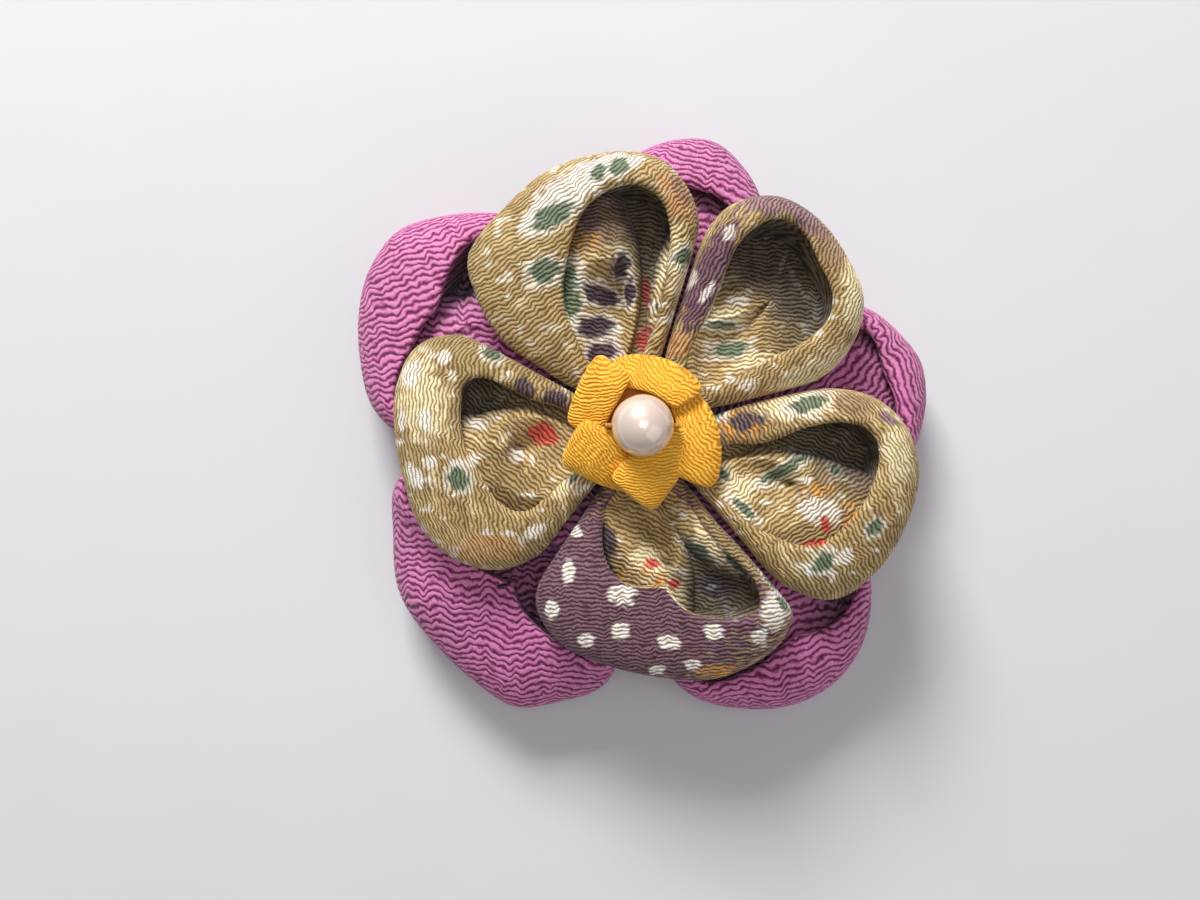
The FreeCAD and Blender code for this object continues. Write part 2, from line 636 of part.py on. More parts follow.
def hinge_pin():
    """The pin across both jaws, with a flat head outside each ear."""
    half = JAW_WIDTH / 2
    shank = Part.makeCylinder(PIN_RADIUS, JAW_WIDTH, Vector(HINGE_X, -half, HINGE_Z), Vector(0, 1, 0))
    heads = []
    for start in (-half - PIN_HEAD_THICKNESS, half):
        foot = Vector(HINGE_X, start, HINGE_Z)
        heads.append(Part.makeCylinder(PIN_HEAD_RADIUS, PIN_HEAD_THICKNESS, foot, Vector(0, 1, 0)))
    save("clip_hinge_pin", shank.multiFuse(heads))


def leg_root(target, side):
    """Direction from the hinge axis of the point where a leg that ends at the target leaves the coil."""
    return math.atan2(target[1], target[0]) + side * math.acos(COIL_RADIUS / math.hypot(*target))


def spring():
    """A torsion spring round the pin whose two legs push the two tails apart."""
    lower_x = HINGE_X + LOWER_LEG_REACH
    lower_height = tail_top(lower_x) + WIRE_RADIUS / math.cos(tail_slope()) + WIRE_PLAY
    upper = (UPPER_LEG_REACH, HINGE_DROP - WIRE_RADIUS - WIRE_PLAY)
    lower = (LOWER_LEG_REACH, lower_height - HINGE_Z)
    start, end = leg_root(upper, 1), leg_root(lower, -1)
    turns = COIL_TURNS + 1 + (end - start) / (2 * math.pi)
    length = turns * COIL_PITCH
    climb = COIL_PITCH / (2 * math.pi * COIL_RADIUS)

    def on_coil(angle, out, rise):
        """A point of the wire's path: along the tangent at an angle, and up the coil's axis."""
        x = COIL_RADIUS * math.cos(angle) - out * math.sin(angle)
        y = COIL_RADIUS * math.sin(angle) + out * math.cos(angle)
        return Vector(x, y, rise + climb * out)

    reaches = [math.sqrt(math.hypot(*target) ** 2 - COIL_RADIUS**2) for target in (upper, lower)]
    sweep = 2 * math.pi * turns
    upper_leg = Part.makeLine(on_coil(0, -reaches[0], 0), on_coil(0, 0, 0))
    lower_leg = Part.makeLine(on_coil(sweep, 0, length), on_coil(sweep, reaches[1], length))
    helix = Part.makeHelix(COIL_PITCH, length, COIL_RADIUS)
    path = Part.Wire([upper_leg] + helix.Edges + [lower_leg])
    section = Part.makeCircle(WIRE_RADIUS, on_coil(0, -reaches[0], 0), Vector(0, 1, climb))
    wire = path.makePipeShell([Part.Wire([section])], True, False)
    wire.rotate(Vector(0, 0, 0), Vector(1, 0, 0), 90)
    wire.rotate(Vector(0, 0, 0), Vector(0, -1, 0), math.degrees(start))
    wire.translate(Vector(HINGE_X, length / 2, HINGE_Z))
    save("clip_spring", wire)


def main():
    os.makedirs("parts", exist_ok=True)
    petals()
    centre_pad()
    centre_folds()
    pearl_bead()
    bead_thread()
    tie_thread("outer_tie_thread", OUTER_TIP_BOTTOM)
    tie_thread("inner_tie_thread", INNER_TIP_BOTTOM)
    backing()
    clip_strap()
    fixed_jaw()
    lever_jaw()
    hinge_pin()
    spring()


main()
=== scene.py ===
"""Dresses the flower hair clip: crepe petals, folded centre, bead, felt and sprung steel clip.

Sizes in the code are in millimetres where a name or comment says so, and are written to meshes in metres.
"""

import json
import math
from collections import namedtuple

import bpy
import numpy as np
from bpy.props import FloatProperty, FloatVectorProperty, PointerProperty
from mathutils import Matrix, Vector


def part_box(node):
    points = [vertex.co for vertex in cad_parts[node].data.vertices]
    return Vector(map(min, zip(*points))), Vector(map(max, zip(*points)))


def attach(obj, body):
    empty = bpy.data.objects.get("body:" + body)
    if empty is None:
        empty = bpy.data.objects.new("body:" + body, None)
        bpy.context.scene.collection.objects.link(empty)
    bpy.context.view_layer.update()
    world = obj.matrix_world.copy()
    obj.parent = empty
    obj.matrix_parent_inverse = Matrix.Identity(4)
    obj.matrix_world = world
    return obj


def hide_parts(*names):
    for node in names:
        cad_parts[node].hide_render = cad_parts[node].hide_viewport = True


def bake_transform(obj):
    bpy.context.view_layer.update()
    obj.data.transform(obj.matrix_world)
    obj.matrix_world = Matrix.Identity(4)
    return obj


bl_info = {
    "name": "Crepe flower hair clip",
    "version": (1, 0, 0),
    "blender": (4, 5, 0),
    "location": "View3D > Sidebar > Flower clip",
    "description": "Builds the cloth, bead and metal of a crepe flower hair clip on its CAD frame",
    "category": "Add Mesh",
}

MM = 0.001
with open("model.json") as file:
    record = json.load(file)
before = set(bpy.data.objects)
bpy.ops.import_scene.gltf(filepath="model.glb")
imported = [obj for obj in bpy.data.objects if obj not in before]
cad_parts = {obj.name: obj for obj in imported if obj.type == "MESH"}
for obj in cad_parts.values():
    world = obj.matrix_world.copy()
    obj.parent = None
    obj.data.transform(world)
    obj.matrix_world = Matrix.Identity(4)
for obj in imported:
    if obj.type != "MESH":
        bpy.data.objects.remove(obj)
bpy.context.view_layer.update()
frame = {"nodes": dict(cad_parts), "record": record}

# ---- heights of the layers, from the frame, in mm
BACKING_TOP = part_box("base_card")[1][2] / MM
BACKING_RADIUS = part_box("backing_felt")[1][0] / MM
CLIP_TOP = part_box("clip_fixed_jaw")[1][2] / MM
CLIP_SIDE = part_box("clip_hinge_pin")[1][1] / MM
OUTER_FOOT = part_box("outer_petal_4")[0][2] / MM
OUTER_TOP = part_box("outer_petal_4")[1][2] / MM
INNER_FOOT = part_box("inner_petal_1")[0][2] / MM
INNER_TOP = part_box("inner_petal_1")[1][2] / MM
PAD_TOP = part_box("centre_pad")[1][2] / MM
BEAD_LOW = [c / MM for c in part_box("pearl_bead")[0]]
BEAD_HIGH = [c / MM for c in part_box("pearl_bead")[1]]
BEAD_RADIUS = (BEAD_HIGH[1] - BEAD_LOW[1]) / 2
BEAD_HEIGHT = (BEAD_HIGH[2] + BEAD_LOW[2]) / 2
BEAD_BORE = 0.5
WIRE = 0.3  # radius of the spring's wire
COIL = 1.35  # radius of its coil, to the middle of the wire
COIL_PITCH = 0.72
COIL_TURNS = 3  # with the part turn between its legs counted whole
COIL_REACH = 0.87  # half the coil's length along the pin
UPPER_LEG = 7.5  # hinge to the end of the upper leg, along the clip
LOWER_LEG = 5.0
TIP_START = 3.7  # flower axis to the tips of the petals
BORDER = 1.0  # how far the band's print goes on inside the crest
BELLY_SHARE = 0.42  # height of the widest line between the foot and the crest
CHANNEL_START, CHANNEL_END = -27.4, 30.2  # ends of the room for the clip under the outer petals
CHANNEL_SIDE = CLIP_SIDE + 2.0
CHANNEL_SLOPE = 1.6  # run of the slopes round that room
PAINTED_SHADE_TOP = 1.0  # distance below the crest at which the painted shade in a pocket starts
PAINTED_SHADE_DEPTH = 4.2  # from there down to where the painted shade is darkest
PAINTED_POCKET_SHADE = 0.82  # how much of the dye's colour the painted shade takes away on a pocket's floor
CAMERA_PLACE = (-4.9, -2.8, 180.0)
CAMERA_LENS = 41.16


# ---- colours of the cloth, linear light


def tone(red, green, blue):
    """A linear colour from the three display values of a dye, each 0 to 255."""
    values = np.array([red, green, blue]) / 255
    return np.where(values <= 0.04045, values / 12.92, ((values + 0.055) / 1.055) ** 2.4)


PURPLE = tone(184, 88, 142)
OLIVE = tone(146, 122, 68)
KHAKI = tone(180, 150, 94)
CREAM = tone(222, 204, 160)
WHITE = tone(242, 236, 226)
LEAF = tone(48, 80, 40)
PLUM = tone(56, 30, 48)
MAUVE = tone(122, 86, 96)
DUSK = tone(96, 56, 74)
TAN = tone(184, 132, 76)
BROWN = tone(128, 92, 62)
GOLD = tone(206, 146, 48)
RED = tone(196, 58, 38)
SUN = tone(244, 178, 36)


def length_value(name, description, size):
    """A length of the panel, from its size in mm."""
    return FloatProperty(name=name, description=description, default=size * MM, unit="LENGTH")


def colour_value(name, description, colour):
    """A colour of the panel."""
    return FloatVectorProperty(name=name, description=description, default=tuple(colour), subtype="COLOR")


class FlowerClipSettings(bpy.types.PropertyGroup):
    """Sizes and colours of the cloth and the bead."""

    outer_pitch: length_value("Purple pitch", "Ridge to ridge on the purple crepe", 0.92)
    print_pitch: length_value("Printed pitch", "Ridge to ridge on the printed crepe", 0.52)
    fold_pitch: length_value("Golden pitch", "Ridge to ridge on the golden crepe", 0.43)
    ridge_height: length_value("Ridge height", "How far a crepe ridge stands up", 0.11)
    cloth_thickness: length_value("Cloth thickness", "Thickness of the crepe", 0.3)
    purple: colour_value("Purple", "Dye of the outer petals", PURPLE)
    yellow: colour_value("Yellow", "Dye of the folded centre", SUN)
    pearl: colour_value("Pearl", "Body colour of the bead", (0.82, 0.64, 0.53))
    felt: colour_value("Felt", "Colour of the felt behind the petals", (0.035, 0.028, 0.038))
    card: colour_value("Card", "Colour of the card disc", (0.50, 0.43, 0.32))
    steel: colour_value("Steel", "Colour of the clip's plated steel", (0.62, 0.61, 0.60))
    floor: colour_value("Floor", "Colour of the floor", (0.60, 0.60, 0.61))


def settings():
    """The values that the panel shows."""
    return bpy.context.scene.flower_clip


# ---- shader maths


class Channel:
    """A shader socket that takes part in Python arithmetic."""

    def __init__(self, tree, socket):
        self.tree = tree
        self.socket = socket

    def maths(self, operation, *values):
        """A Math node on this channel and other channels or numbers."""
        node = self.tree.nodes.new("ShaderNodeMath")
        node.operation = operation
        for slot, value in zip(node.inputs, values):
            plug(self.tree, slot, value)
        return Channel(self.tree, node.outputs[0])

    def __add__(self, other):
        return self.maths("ADD", self, other)

    __radd__ = __add__

    def __mul__(self, other):
        return self.maths("MULTIPLY", self, other)

    __rmul__ = __mul__

    def __sub__(self, other):
        return self.maths("SUBTRACT", self, other)

    def __rsub__(self, other):
        return self.maths("SUBTRACT", other, self)

    def __truediv__(self, other):
        return self.maths("DIVIDE", self, other)

    def __pow__(self, other):
        return self.maths("POWER", self, other)

    def wave(self):
        """0 to 1 and back once for each whole step of this channel."""
        return self.maths("SINE", self * (2 * math.pi)) * 0.5 + 0.5

    def clipped(self):
        """This channel held between 0 and 1."""
        return self.maths("MAXIMUM", self.maths("MINIMUM", self, 1.0), 0.0)


def plug(tree, socket, value):
    """Links a channel to a socket, or sets the socket to a plain value."""
    if isinstance(value, Channel):
        tree.links.new(value.socket, socket)
    else:
        socket.default_value = value


class Recipe:
    """The node tree of one finish, with its Principled shader."""

    def __init__(self, name):
        self.material = bpy.data.materials.new(name)
        self.material.use_nodes = True
        self.tree = self.material.node_tree
        self.shader = self.tree.nodes["Principled BSDF"]

    def node(self, kind, options=None, output=0, **values):
        """Adds a node, sets its options, then its sockets by name, and gives back one output."""
        node = self.tree.nodes.new("ShaderNode" + kind)
        for key, value in (options or {}).items():
            setattr(node, key, value)
        for key, value in values.items():
            name = key.replace("_", " ")
            socket = next(s for s in node.inputs if s.enabled and s.name.lower() == name.lower())
            plug(self.tree, socket, value)
        return Channel(self.tree, node.outputs[output])

    def blend(self, share, first, second, mode="MIX"):
        """Two colours mixed by a share."""
        node = self.tree.nodes.new("ShaderNodeMix")
        node.data_type = "RGBA"
        node.blend_type = mode
        node.clamp_result = mode == "ADD"
        plug(self.tree, node.inputs[0], share)
        for socket, value in ((node.inputs[6], first), (node.inputs[7], second)):
            plug(self.tree, socket, value if isinstance(value, Channel) else (*value, 1.0))
        return Channel(self.tree, node.outputs[2])

    def attribute(self, name, output=2):
        """A stored value of the mesh: output 0 is a colour and 2 a number."""
        return self.node("Attribute", {"attribute_name": name}, output)

    def place(self):
        """Object coordinates."""
        return self.node("TexCoord", output=3)

    def bump(self, height, strength, distance):
        """A normal bent by a height."""
        return self.node("Bump", Height=height, Strength=strength, Distance=distance)

    def finish(self, **values):
        """Feeds the Principled shader's sockets by name and gives back the material."""
        for key, value in values.items():
            name = key.replace("_", " ")
            plug(self.tree, self.shader.inputs[name], value)
        return self.material


def crepe(name, valley_shade, highlight_gain, lift):
    """Twisted-yarn crepe: dyed by the mesh's tint, with a painted highlight on its ridges and painted shade
    between them; the arguments after the name give the painted shade's colour and the painted highlight's
    gain and lift.
    """
    cloth = Recipe(name)
    phase = cloth.attribute("phase")
    glint = cloth.attribute("glint")
    tint = cloth.attribute("tint", 0)
    weave = cloth.node("UVMap", {"uv_map": "weave"})
    split = cloth.tree.nodes.new("ShaderNodeSeparateXYZ")
    plug(cloth.tree, split.inputs[0], weave)
    along = Channel(cloth.tree, split.outputs[0]) * 10
    across = Channel(cloth.tree, split.outputs[1]) * 10
    fray = cloth.node("TexNoise", {"noise_dimensions": "2D"}, 0, Vector=weave, Scale=22.0, Detail=2.0)
    gaps = cloth.node("TexNoise", {"noise_dimensions": "2D"}, 0, Vector=weave, Scale=9.0, Detail=1.0)
    cord = (phase + fray * 0.5 - 0.25) * (2 * math.pi)
    ridge = cord.maths("COSINE", cord) * 0.5 + 0.5
    ridge = (ridge**0.55 * (gaps * 1.1 + 0.42)).clipped()
    twist = (along / 0.23 + across / 0.42 + fray * 1.6).wave()
    hair = cloth.node("TexNoise", {"noise_dimensions": "2D"}, 0, Vector=weave, Scale=70.0, Detail=3.0)
    smooth = {"interpolation_type": "SMOOTHSTEP"}
    crown = cloth.node("MapRange", smooth, 0, Value=ridge, From_Min=0.4, From_Max=0.95)
    yarn = crown * (twist * 0.75 + 0.25)
    # painted shade: the valleys between the ridges get the tint darkened by a shade colour
    shade = cloth.blend(1.0, tint, valley_shade, "MULTIPLY")
    # painted highlight: the ridges' yarn crowns get the tint brightened and lifted towards white
    lit = cloth.blend(1.0, cloth.blend(1.0, tint, (highlight_gain, highlight_gain, highlight_gain), "MULTIPLY"), lift, "ADD")
    # the ridges show the plain tint and the valleys the painted shade; the yarn crowns then take the painted
    # highlight
    body = cloth.blend((ridge * 1.45 - 0.12).clipped(), shade, tint)
    colour = cloth.blend((yarn * 0.85 + hair * 0.2 - 0.1).clipped(), body, lit)
    height = ridge * 0.6 + crown * twist * 0.3 + hair * 0.15
    return cloth.finish(
        Base_Color=colour,
        Roughness=0.76 - glint * 0.4 - yarn * 0.14,
        Metallic=glint * 0.55,
        Normal=cloth.bump(height, 0.8, 0.14 * MM),
        Specular_IOR_Level=0.35,
        Sheen_Weight=0.12,
        Sheen_Roughness=0.5,
    )


def felt(name, colour):
    """Matted wool felt with loose fibres."""
    cloth = Recipe(name)
    place = cloth.place()
    clumps = cloth.node("TexNoise", None, 0, Vector=place, Scale=900.0, Detail=4.0, Roughness=0.7)
    fibres = cloth.node("TexNoise", None, 0, Vector=place, Scale=4200.0, Detail=3.0, Distortion=2.5)
    pale = [min(1.0, c * 2.6 + 0.02) for c in colour]
    return cloth.finish(
        Base_Color=cloth.blend((fibres * 1.3 * clumps).clipped(), colour, pale),
        Roughness=0.92,
        Normal=cloth.bump(clumps * 0.6 + fibres * 0.4, 0.8, 0.25 * MM),
        Sheen_Weight=0.25,
    )


def card(name, colour):
    """Uncoated pulp card with flecks."""
    board = Recipe(name)
    place = board.place()
    pulp = board.node("TexNoise", None, 0, Vector=place, Scale=1400.0, Detail=5.0)
    fleck = board.node("TexVoronoi", None, 0, Vector=place, Scale=700.0)
    dark = [c * 0.72 for c in colour]
    return board.finish(
        Base_Color=board.blend((pulp * 0.9 + fleck * 0.3).clipped(), dark, colour),
        Roughness=0.88,
        Normal=board.bump(pulp, 0.35, 0.06 * MM),
    )


def steel(name, colour):
    """Nickel-plated spring steel with drawing lines along X and a little tarnish."""
    metal = Recipe(name)
    place = metal.place()
    drawn = metal.node("Mapping", {"vector_type": "POINT"}, 0, Vector=place, Scale=(120.0, 5200.0, 5200.0))
    lines = metal.node("TexNoise", None, 0, Vector=drawn, Scale=1.0, Detail=4.0)
    cloud = metal.node("TexNoise", None, 0, Vector=place, Scale=260.0, Detail=3.0)
    dull = [c * 0.62 for c in colour]
    return metal.finish(
        Base_Color=metal.blend((cloud * 1.1 - 0.15).clipped(), dull, colour),
        Metallic=1.0,
        Roughness=lines * 0.16 + cloud * 0.14 + 0.18,
        Normal=metal.bump(lines, 0.18, 0.02 * MM),
    )


def pearl(name, colour):
    """Pearl lustre: a cloudy pink body under a clear coat."""
    bead = Recipe(name)
    place = bead.place()
    cloud = bead.node("TexNoise", None, 0, Vector=place, Scale=420.0, Detail=2.0)
    milk = (0.74, 0.62, 0.57)
    return bead.finish(
        Base_Color=bead.blend((cloud * 0.7).clipped(), colour, milk),
        Metallic=0.2,
        Roughness=0.26 + cloud * 0.06,
        Coat_Weight=1.0,
        Coat_Roughness=0.04,
        Coat_IOR=1.8,
        Specular_IOR_Level=0.8,
    )


def thread(name, colour):
    """Two-ply sewing thread."""
    cord = Recipe(name)
    split = cord.tree.nodes.new("ShaderNodeSeparateXYZ")
    plug(cord.tree, split.inputs[0], cord.place())
    x, y, z = (Channel(cord.tree, s) for s in split.outputs)
    ply = ((x + y + z * 1.7) / (0.35 * MM)).wave()
    dark = [c * 0.5 for c in colour]
    return cord.finish(
        Base_Color=cord.blend(ply, dark, colour), Roughness=0.8, Normal=cord.bump(ply, 0.6, 0.05 * MM)
    )


def dress(names, material):
    """Gives CAD nodes one material."""
    for name in names:
        node = frame["nodes"][name]
        node.data.materials.clear()
        node.data.materials.append(material)


# ---- cloth


def smooth_noise(x, y, seed):
    """Smooth value noise from 0 to 1 with one lattice step per unit."""
    table = np.random.RandomState(seed).rand(64, 64)
    column, row = np.floor(x).astype(int), np.floor(y).astype(int)
    fx, fy = x - column, y - row
    fx, fy = fx * fx * (3 - 2 * fx), fy * fy * (3 - 2 * fy)
    corner = [[table[(row + j) % 64, (column + i) % 64] for i in (0, 1)] for j in (0, 1)]
    low = corner[0][0] * (1 - fx) + corner[0][1] * fx
    high = corner[1][0] * (1 - fx) + corner[1][1] * fx
    return low * (1 - fy) + high * fy


def crepe_phase(along, across, pitch, seed):
    """Which ridge, as a running number, each point lies on; ridges run along the first coordinate."""
    sweep = 1.5 * smooth_noise(along / 2.2, across / 7.0, seed)
    zigzag = 0.8 * smooth_noise(along / 0.75, across / 2.4, seed + 1)
    drift = 1.2 * smooth_noise(along / 8.0, across / 12.0, seed + 2)
    breaks = 0.6 * smooth_noise(along / (0.9 * pitch), across / (1.3 * pitch), seed + 3)
    return across / pitch + sweep + zigzag + drift + breaks


def ridge_height(phase):
    """Height, 0 to 1, of the ridges at their running numbers."""
    return (0.5 + 0.5 * np.cos(2 * math.pi * phase)) ** 0.7


def turned(x, y, degrees):
    """Cloth coordinates of points in a cloth whose ridges run at an angle to +X."""
    angle = math.radians(degrees)
    return x * math.cos(angle) + y * math.sin(angle), y * math.cos(angle) - x * math.sin(angle)


def grid_normals(points):
    """Unit normals of a grid of points that closes in its second direction."""
    down = np.gradient(points, axis=0)
    round_way = (np.roll(points, -1, axis=1) - np.roll(points, 1, axis=1)) / 2
    normal = np.cross(down, round_way)
    return normal / np.maximum(np.linalg.norm(normal, axis=2, keepdims=True), 1e-9)


def tube_faces(rows, columns, start, flip=False):
    """Faces of a grid that closes in its second direction, with a fan at each end for its two poles."""
    index = np.arange(rows * columns).reshape(rows, columns) + start
    right = np.roll(index, -1, axis=1)
    quads = np.stack([index[:-1], index[1:], right[1:], right[:-1]], axis=-1).reshape(-1, 4)
    first, last = start + rows * columns, start + rows * columns + 1
    top = np.stack([np.full(columns, first), index[0], right[0]], axis=-1)
    bottom = np.stack([np.full(columns, last), right[-1], index[-1]], axis=-1)
    faces = quads.tolist() + top.tolist() + bottom.tolist()
    return [face[::-1] for face in faces] if flip else faces


def cloth_piece(name, points, weave, phase, tint, glint, material, body="flower"):
    """A closed pouch of cloth from a grid in mm: its outside, and its inside one thickness further in."""
    rows, columns = phase.shape
    lining = settings().cloth_thickness / MM
    normals = soften(grid_normals(soften(points, 4)), 4)
    step_rows = np.unique(np.linspace(0, rows - 1, rows // 3).astype(int))
    step_columns = np.arange(0, columns, 3)
    inside = (points - normals * lining)[step_rows][:, step_columns]
    flat = [points.reshape(-1, 3), points[0].mean(axis=0)[None], points[-1].mean(axis=0)[None]]
    outside_count = rows * columns + 2
    flat += [inside.reshape(-1, 3), inside[0].mean(axis=0)[None], inside[-1].mean(axis=0)[None]]
    verts = np.concatenate(flat)
    faces = tube_faces(rows, columns, 0)
    faces += tube_faces(len(step_rows), len(step_columns), outside_count, flip=True)
    mesh = bpy.data.meshes.new(name)
    mesh.from_pydata((verts * MM).tolist(), [], faces)
    mesh.polygons.foreach_set("use_smooth", np.ones(len(mesh.polygons), dtype=bool))
    padding = len(verts) - outside_count

    def spread(values):
        """Grid values for every vertex: each pole gets its ring's mean, and the inside the first of them."""
        parts = values.reshape(rows, columns, -1)
        ends = np.stack([parts[0].mean(axis=0), parts[-1].mean(axis=0)])
        return np.concatenate([parts.reshape(rows * columns, -1), ends, np.tile(ends[:1], (padding, 1))])

    for label, values in (("phase", phase), ("glint", glint)):
        stored = mesh.attributes.new(label, "FLOAT", "POINT")
        stored.data.foreach_set("value", spread(values).ravel().astype(np.float32))
    colours = spread(tint)
    colours = np.concatenate([colours, np.ones((len(verts), 1))], axis=1)
    tint_values = mesh.attributes.new("tint", "FLOAT_COLOR", "POINT")
    tint_values.data.foreach_set("color", colours.ravel().astype(np.float32))
    uv = mesh.uv_layers.new(name="weave")
    loops = np.empty(len(mesh.loops), dtype=int)
    mesh.loops.foreach_get("vertex_index", loops)
    uv.data.foreach_set("uv", (spread(weave)[loops] / 10).ravel().astype(np.float32))
    mesh.materials.append(material)
    mesh.update()
    piece = bpy.data.objects.new(name, mesh)
    bpy.context.scene.collection.objects.link(piece)
    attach(piece, body)
    return piece


def round_curve(points, centre, angles):
    """Distance from a centre to a smooth closed curve through points, in each of some directions."""
    offset = np.array(points, dtype=float) - centre
    bearing = np.arctan2(offset[:, 1], offset[:, 0])
    distance = np.hypot(offset[:, 0], offset[:, 1])
    order = np.argsort(bearing)
    bearing, distance = bearing[order], distance[order]
    turns = np.concatenate([bearing - 2 * math.pi, bearing, bearing + 2 * math.pi])
    reach = np.tile(distance, 3)
    slope = np.gradient(reach, turns)
    place = np.searchsorted(turns, angles) - 1
    low, high = turns[place], turns[place + 1]
    span = high - low
    share = (angles - low) / span
    square, cube = share**2, share**3
    found = (2 * cube - 3 * square + 1) * reach[place] + (cube - 2 * square + share) * span * slope[place]
    found += (3 * square - 2 * cube) * reach[place + 1] + (cube - square) * span * slope[place + 1]
    return found


def even_rows(stretch, count):
    """Resamples each column of a stretch of dense rows to rows an equal way apart."""
    columns, parts = stretch.shape[1:]
    steps = np.linalg.norm(np.diff(stretch[..., :3], axis=0), axis=2)
    way = np.concatenate([np.zeros((1, columns)), np.cumsum(steps, axis=0)])
    rows = np.empty((count, columns, parts))
    for column in range(columns):
        wanted = np.linspace(0, way[-1, column], count)
        for part in range(parts):
            rows[:, column, part] = np.interp(wanted, way[:, column], stretch[:, column, part])
    return rows


def soften(points, times):
    """Evens out a grid that closes in its second direction, its first and last rows kept."""
    for _ in range(times):
        middle = (np.roll(points, 1, axis=1) + np.roll(points, -1, axis=1)) / 2
        middle[1:-1] = (middle[1:-1] + (points[2:] + points[:-2]) / 2) / 2
        points = (points + middle) / 2
    return points


def dome(x, y, lobe):
    """Height of one rounded lobe of lining, and -inf outside it."""
    along, across = turned(x - lobe["at"][0], y - lobe["at"][1], lobe["turn"])
    inside = 1 - (along / lobe["size"][0]) ** 2 - (across / lobe["size"][1]) ** 2
    rise = lobe["top"] - lobe["base"]
    tilt = lobe.get("tilt", 0.0) * along
    return np.where(inside > 0, lobe["base"] + rise * np.sqrt(np.maximum(inside, 0)) + tilt, -1e3)


def smooth_step(share):
    """0 to 1 with level ends."""
    share = np.clip(share, 0, 1)
    return share * share * (3 - 2 * share)


def clearance_height(x, y):
    """Lowest height that an outer petal's underside may have over the backing and the clip."""
    over = smooth_step((BACKING_RADIUS + 2.6 - np.hypot(x, y)) / 2.2) * (BACKING_TOP + 0.45)
    in_channel = smooth_step((CHANNEL_SIDE - abs(y)) / CHANNEL_SLOPE)
    in_channel = in_channel * smooth_step((CHANNEL_END - x) / CHANNEL_SLOPE)
    in_channel = in_channel * smooth_step((x - CHANNEL_START) / CHANNEL_SLOPE)
    return np.maximum(over, in_channel * (CLIP_TOP + 0.5))


def sector_reach(centre, angles, start, end, gap=0.14):
    """How far each ray from a centre may go inside a sector round the flower axis."""
    reach = np.full_like(angles, 60.0)
    for edge, side in ((start, 1), (end, -1)):
        turn = math.radians(edge)
        normal = np.array([-math.sin(turn), math.cos(turn)]) * side
        depth = centre @ normal - gap
        closing = -(np.cos(angles) * normal[0] + np.sin(angles) * normal[1])
        reach = np.where(closing > 1e-3, np.minimum(reach, depth / np.maximum(closing, 1e-3)), reach)
    return reach


def foot_height(x, y, form, layer):
    """Height of a petal's underside: a plane from its tip, near the flower axis, down to its end."""
    heading = np.array(form["middle"]) / np.hypot(*form["middle"])
    end = (np.array(form["edge"]) @ heading).max() - layer["foot_inset"]
    run = (x * heading[0] + y * heading[1] - TIP_START) / (end - TIP_START)
    return layer["tip_foot"] + np.clip(run, 0, 1) * (layer["end_foot"] - layer["tip_foot"])


def underside(x, y, form, layer):
    """Height of a petal's underside, lifted over the backing and the clip where it lies on them."""
    foot = foot_height(x, y, form, layer)
    return np.maximum(foot, clearance_height(x, y)) if layer["over_backing"] else foot


